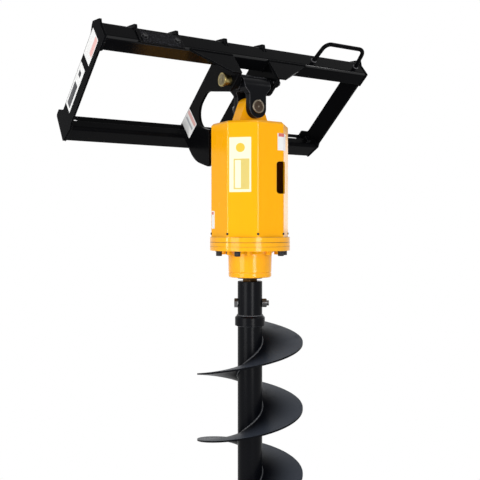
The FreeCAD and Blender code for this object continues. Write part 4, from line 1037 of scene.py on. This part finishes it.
def foldedLabel(name, finish, edge, left, right, top, bottom, lift):
    # Label carried round one folded edge of the cover; left and right are its lengths on the two flats.
    bend = drive["bend"] + lift
    centre = around((drive["flats"] / 2 - drive["bend"]) / cos(pi / 8), edge)
    path = [beside(centre, bend, edge - 22.5 + step * 7.5) for step in range(7)]
    path.insert(0, beside(path[0], left, edge - 22.5 - 90))
    path.append(beside(path[-1], right, edge + 22.5 + 90))
    verts = [hanging(x, y, z) for z in (top, bottom) for x, y in path]
    wide = len(path)
    faces = [(index, index + wide, index + wide + 1, index + 1) for index in range(wide - 1)]
    addPiece(name, verts, faces, finish, "drive")


# Blank panels: finish, left and right, top and bottom, height off the flat, rounding.
frontPanels = {
    "coverLabel": ("labelCream", (-47, 30), (-210, -399), 0.4, 2.0),
    "coverLabelSquare": ("labelAmber", (-24, 8), (-230, -262), 0.6, 16.0),
    "coverLabelBlock": ("labelTan", (-32, 24), (-284, -390), 0.6, 2.0),
    "coverLabelBlockInner": ("labelCream", (-27, -6), (-289, -385), 0.8, 2.0),
}
leftPanels = {
    "coverLeftLabel": ("labelWhite", (-50, -30), (-463, -526), 0.4, 2.0),
    "coverLeftLabelBand": ("labelRed", (-48, -36), (-466, -476), 0.6, 2.0),
}
# Finish, lengths left and right of the fold, top and bottom, height off the flats.
foldPanels = {
    "coverSideLabel": ("labelWhite", 22, 34, -192, -252, 0.4),
    "coverSideLabelBand": ("labelRed", 18, 2, -192.5, -204, 0.7),
}
bearings = {"front": -135, "windowEdge": -67.5, "left": 180}


def flatLabels(panels, facet):
    for name, (finish, *panel) in panels.items():
        film(name, finish, "drive", lambda across, z: facetPoint(facet, across, z), *panel)


flatLabels(frontPanels, bearings["front"])
for name, (finish, *panel) in foldPanels.items():
    foldedLabel(name, finish, bearings["windowEdge"], *panel)
flatLabels(leftPanels, bearings["left"])
print("drive dressed")

auger = {
    "bolt": -794.0, "boltFlats": 30.0, "boltHead": 13.0, "nut": 16.4, "shank": 9.9, "boltThread": 23.0,
    "boltPitch": 2.5, "outer": 88.9, "flightTop": -877.0, "flightStart": 81.0, "pitch": 236.0, "turns": 4,
    "sheet": 6.0, "board": -1821.0, "reach": 381.0, "sunk": 0.4, "rootBead": 4.2,
}
augerRings = ((-838.0, 3.6), (-874.0, 4.0), (-1835.0, 3.0))  # height and bead radius


def hubBolt():
    look = auger
    bolt, nut = Mesh(), Mesh()
    out = (onAuger(1, 0, 0) - onAuger(0, 0, 0)).normalized()
    centre = onAuger(0, 0, look["bolt"])
    face = look["outer"] / 2
    seat = out * (face - look["sunk"]) * mm
    hexHead(bolt, centre - seat, -out, look["boltFlats"], look["boltHead"], dish=0.6)
    thread(bolt, centre + out * face * mm, out, look["shank"], look["boltThread"], look["boltPitch"])
    piece = bolt.piece("hubBolt", "greyBolt", "rotor")
    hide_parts("hub_bolt")
    hexHead(nut, centre + seat, out, look["boltFlats"], look["nut"], 10)
    piece = nut.piece("hubNut", "greyBolt", "rotor")
    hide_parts("hub_nut")


hubBolt()


def augerWelds():
    beads = Mesh()
    look = auger
    rim, drop = look["outer"] / 2, look["pitch"] / 60

    def root(top, turns, under):
        shift = -look["sheet"] if under else 0
        spots = [around(rim, look["flightStart"] - 6 * step, top + shift - drop * step)
                 for step in range(round(turns * 60) + 1)]
        weld(beads, line(onAuger, *spots), look["rootBead"])

    for z, bead in augerRings:
        weld(beads, line(onAuger, *[around(rim, step * 7.5, z) for step in range(48)]), bead, closed=True)
    for under in (False, True):
        root(look["flightTop"], look["turns"], under)
        root(look["board"] + look["pitch"] / 2, 0.5, under)
    beads.piece("augerWelds", "weldPaint", "rotor", 60)


augerWelds()

head = {
    "rake": 38.0, "boardSheet": 14.0, "boardHeight": 55.0, "toothWide": 32.0, "toothThick": 14.0,
    "toothSeat": 42.0, "teeth": (48.5, 103.5, 158.5), "bolt": 19.0, "boltHead": 7.5, "nut": 10.0,
    "washer": 2.4, "boltDrop": 30.0, "tailFrom": 12.0, "tail": 5.0, "toothBead": 2.8, "edgeBead": 3.4,
    "endBead": 3.6,
}


def onBoard(turn, x, along, out):
    # Point on a cutter board: along runs down its face, out stands square to it.
    rake = radians(head["rake"])
    y = -sin(rake) * along - cos(rake) * out
    z = auger["board"] - auger["sheet"] - cos(rake) * along + sin(rake) * out
    return onAuger(*turned(x, y, auger["flightStart"] + turn), z)


def cutterHead():
    bolts, beads = Mesh(), Mesh()
    look = head
    rim, reach = auger["outer"] / 2, auger["reach"] / 2
    for turn in (0, 180):
        out = (onBoard(turn, 0, 0, 1) - onBoard(turn, 0, 0, 0)).normalized()
        for start in look["teeth"]:
            middle = start + look["toothWide"] / 2
            face = onBoard(turn, middle, look["boltDrop"], look["boardSheet"] + look["toothThick"])
            back = onBoard(turn, middle, look["boltDrop"], 0)
            hexHead(bolts, face, out, look["bolt"], look["boltHead"], start, dish=0.6)
            washer(bolts, back, -out, boltM12["washer"], boltM12["bore"], look["washer"])
            hexHead(bolts, back - out * look["washer"] * mm, -out, look["bolt"], look["nut"], start * 2)
            tail = back - out * look["tailFrom"] * mm
            thread(bolts, tail, -out, boltM12["shank"], look["tail"], boltM12["pitch"])
            top = look["boardHeight"] - look["toothSeat"]
            ends = (start + 1, start + look["toothWide"] - 1)
            weld(beads, [onBoard(turn, x, top, look["boardSheet"]) for x in ends], look["toothBead"])
        weld(beads, [onBoard(turn, x, 0, 0) for x in (rim + 2, reach - 2)], look["edgeBead"])
        for side, ends in ((0, (2, 30)), (look["boardSheet"], (14, 34))):
            weld(beads, [onBoard(turn, rim + 1, along, side) for along in ends], look["endBead"])
    bolts.piece("toothBolts", "greyBolt", "rotor")
    beads.piece("headWelds", "weldPaint", "rotor", 60)


cutterHead()
print("auger dressed")

studio = {
    "floorDrop": 0.03, "floorSize": 30.0, "fadeFrom": 0.45, "fadeTo": 1.25, "pale": (0.86, 0.86, 0.86),
    "near": 0.5, "white": (1.0, 1.0, 1.0), "fill": 0.36,
}


def seenDirect(shader):
    # 1 for what the camera, a mirror or glass sees; lamps and bounces get the plain level.
    kinds = ("Camera", "Glossy", "Transmission")
    camera, mirror, glass = [shader.node("LightPath", out="Is %s Ray" % kind) for kind in kinds]
    return camera.most(mirror).most(glass)


def makeFloor():
    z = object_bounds()[0].z - studio["floorDrop"]
    half = studio["floorSize"] / 2
    mesh = bpy.data.meshes.new("floor")
    corners = [(-half, -half, z), (half, -half, z), (half, half, z), (-half, half, z)]
    mesh.from_pydata(corners, [], [(0, 1, 2, 3)])
    floor = addObject("floor", mesh)
    floor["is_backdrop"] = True
    shader = Shader("floor")
    middle = (pinSpot.x, pinSpot.y, z)
    spread = shader.vector("LENGTH", shader.vector("SUBTRACT", shader.place(), middle), out="Value")
    shown = spread.step(studio["fadeFrom"], studio["fadeTo"]) * (1 - studio["near"]) + studio["near"]
    factor = shown * seenDirect(shader)
    plain = shader.node("BsdfDiffuse", {"Color": studio["pale"]})
    white = shader.node("Emission", {"Color": studio["white"], "Strength": 1.0})
    both = shader.node("MixShader", {0: factor, 1: plain, 2: white})
    shader.node("OutputMaterial", {"Surface": both})
    mesh.materials.append(shader.block)


makeFloor()


def makeWorld():
    shader = Shader("studioWorld", world=True)
    fill = shader.node("Background", {"Color": studio["white"], "Strength": studio["fill"]})
    white = shader.node("Background", {"Color": studio["white"], "Strength": 1.0})
    both = shader.node("MixShader", {0: seenDirect(shader), 1: fill, 2: white})
    shader.node("OutputWorld", {"Surface": both})
    scene.world = shader.block


makeWorld()

lamps = {  # place, aim, width, height, power
    "keyLamp": ((-0.53, -3.0, -0.6), (0, -0.06, -0.6), 0.8, 2.0, 48),
    "frontLamp": ((-2.88, -0.78, -0.6), (0, -0.06, -0.6), 1.3, 2.0, 36),
    "leftLamp": ((-3.0, 0.5, -0.2), (0, -0.06, -0.5), 0.3, 1.4, 17),
    "railLamp": ((1.95, -1.85, 1.3), (0.3, -0.06, -0.1), 0.4, 0.4, 7),
    "backLamp": ((2.6, 1.7, 0.1), (0, -0.06, -0.5), 1.2, 1.6, 5),
}
for name, (at, aim, wide, high, power) in lamps.items():
    data = bpy.data.lights.new(name, "AREA")
    data.shape = "RECTANGLE"
    data.size = wide
    data.size_y = high
    data.energy = power
    light = addObject(name, data)
    light.location = at
    light.rotation_euler = (Vector(aim) - Vector(at)).to_track_quat("-Z", "Y").to_euler()

view = {"at": (-1.510, -2.316, -0.6565), "azimuth": 33.1, "lens": 56.25, "sensor": 36.0, "shift": -14 / 480}
cameraData = bpy.data.cameras.new("camera")
cameraData.lens = view["lens"]
cameraData.sensor_width = view["sensor"]
cameraData.shift_y = view["shift"]
camera = addObject("camera", cameraData)
camera.location = view["at"]
camera.rotation_euler = (radians(90), 0, -radians(view["azimuth"]))
scene.camera = camera
scene.view_settings.view_transform = "Standard"

low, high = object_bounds()
print("scene ready")
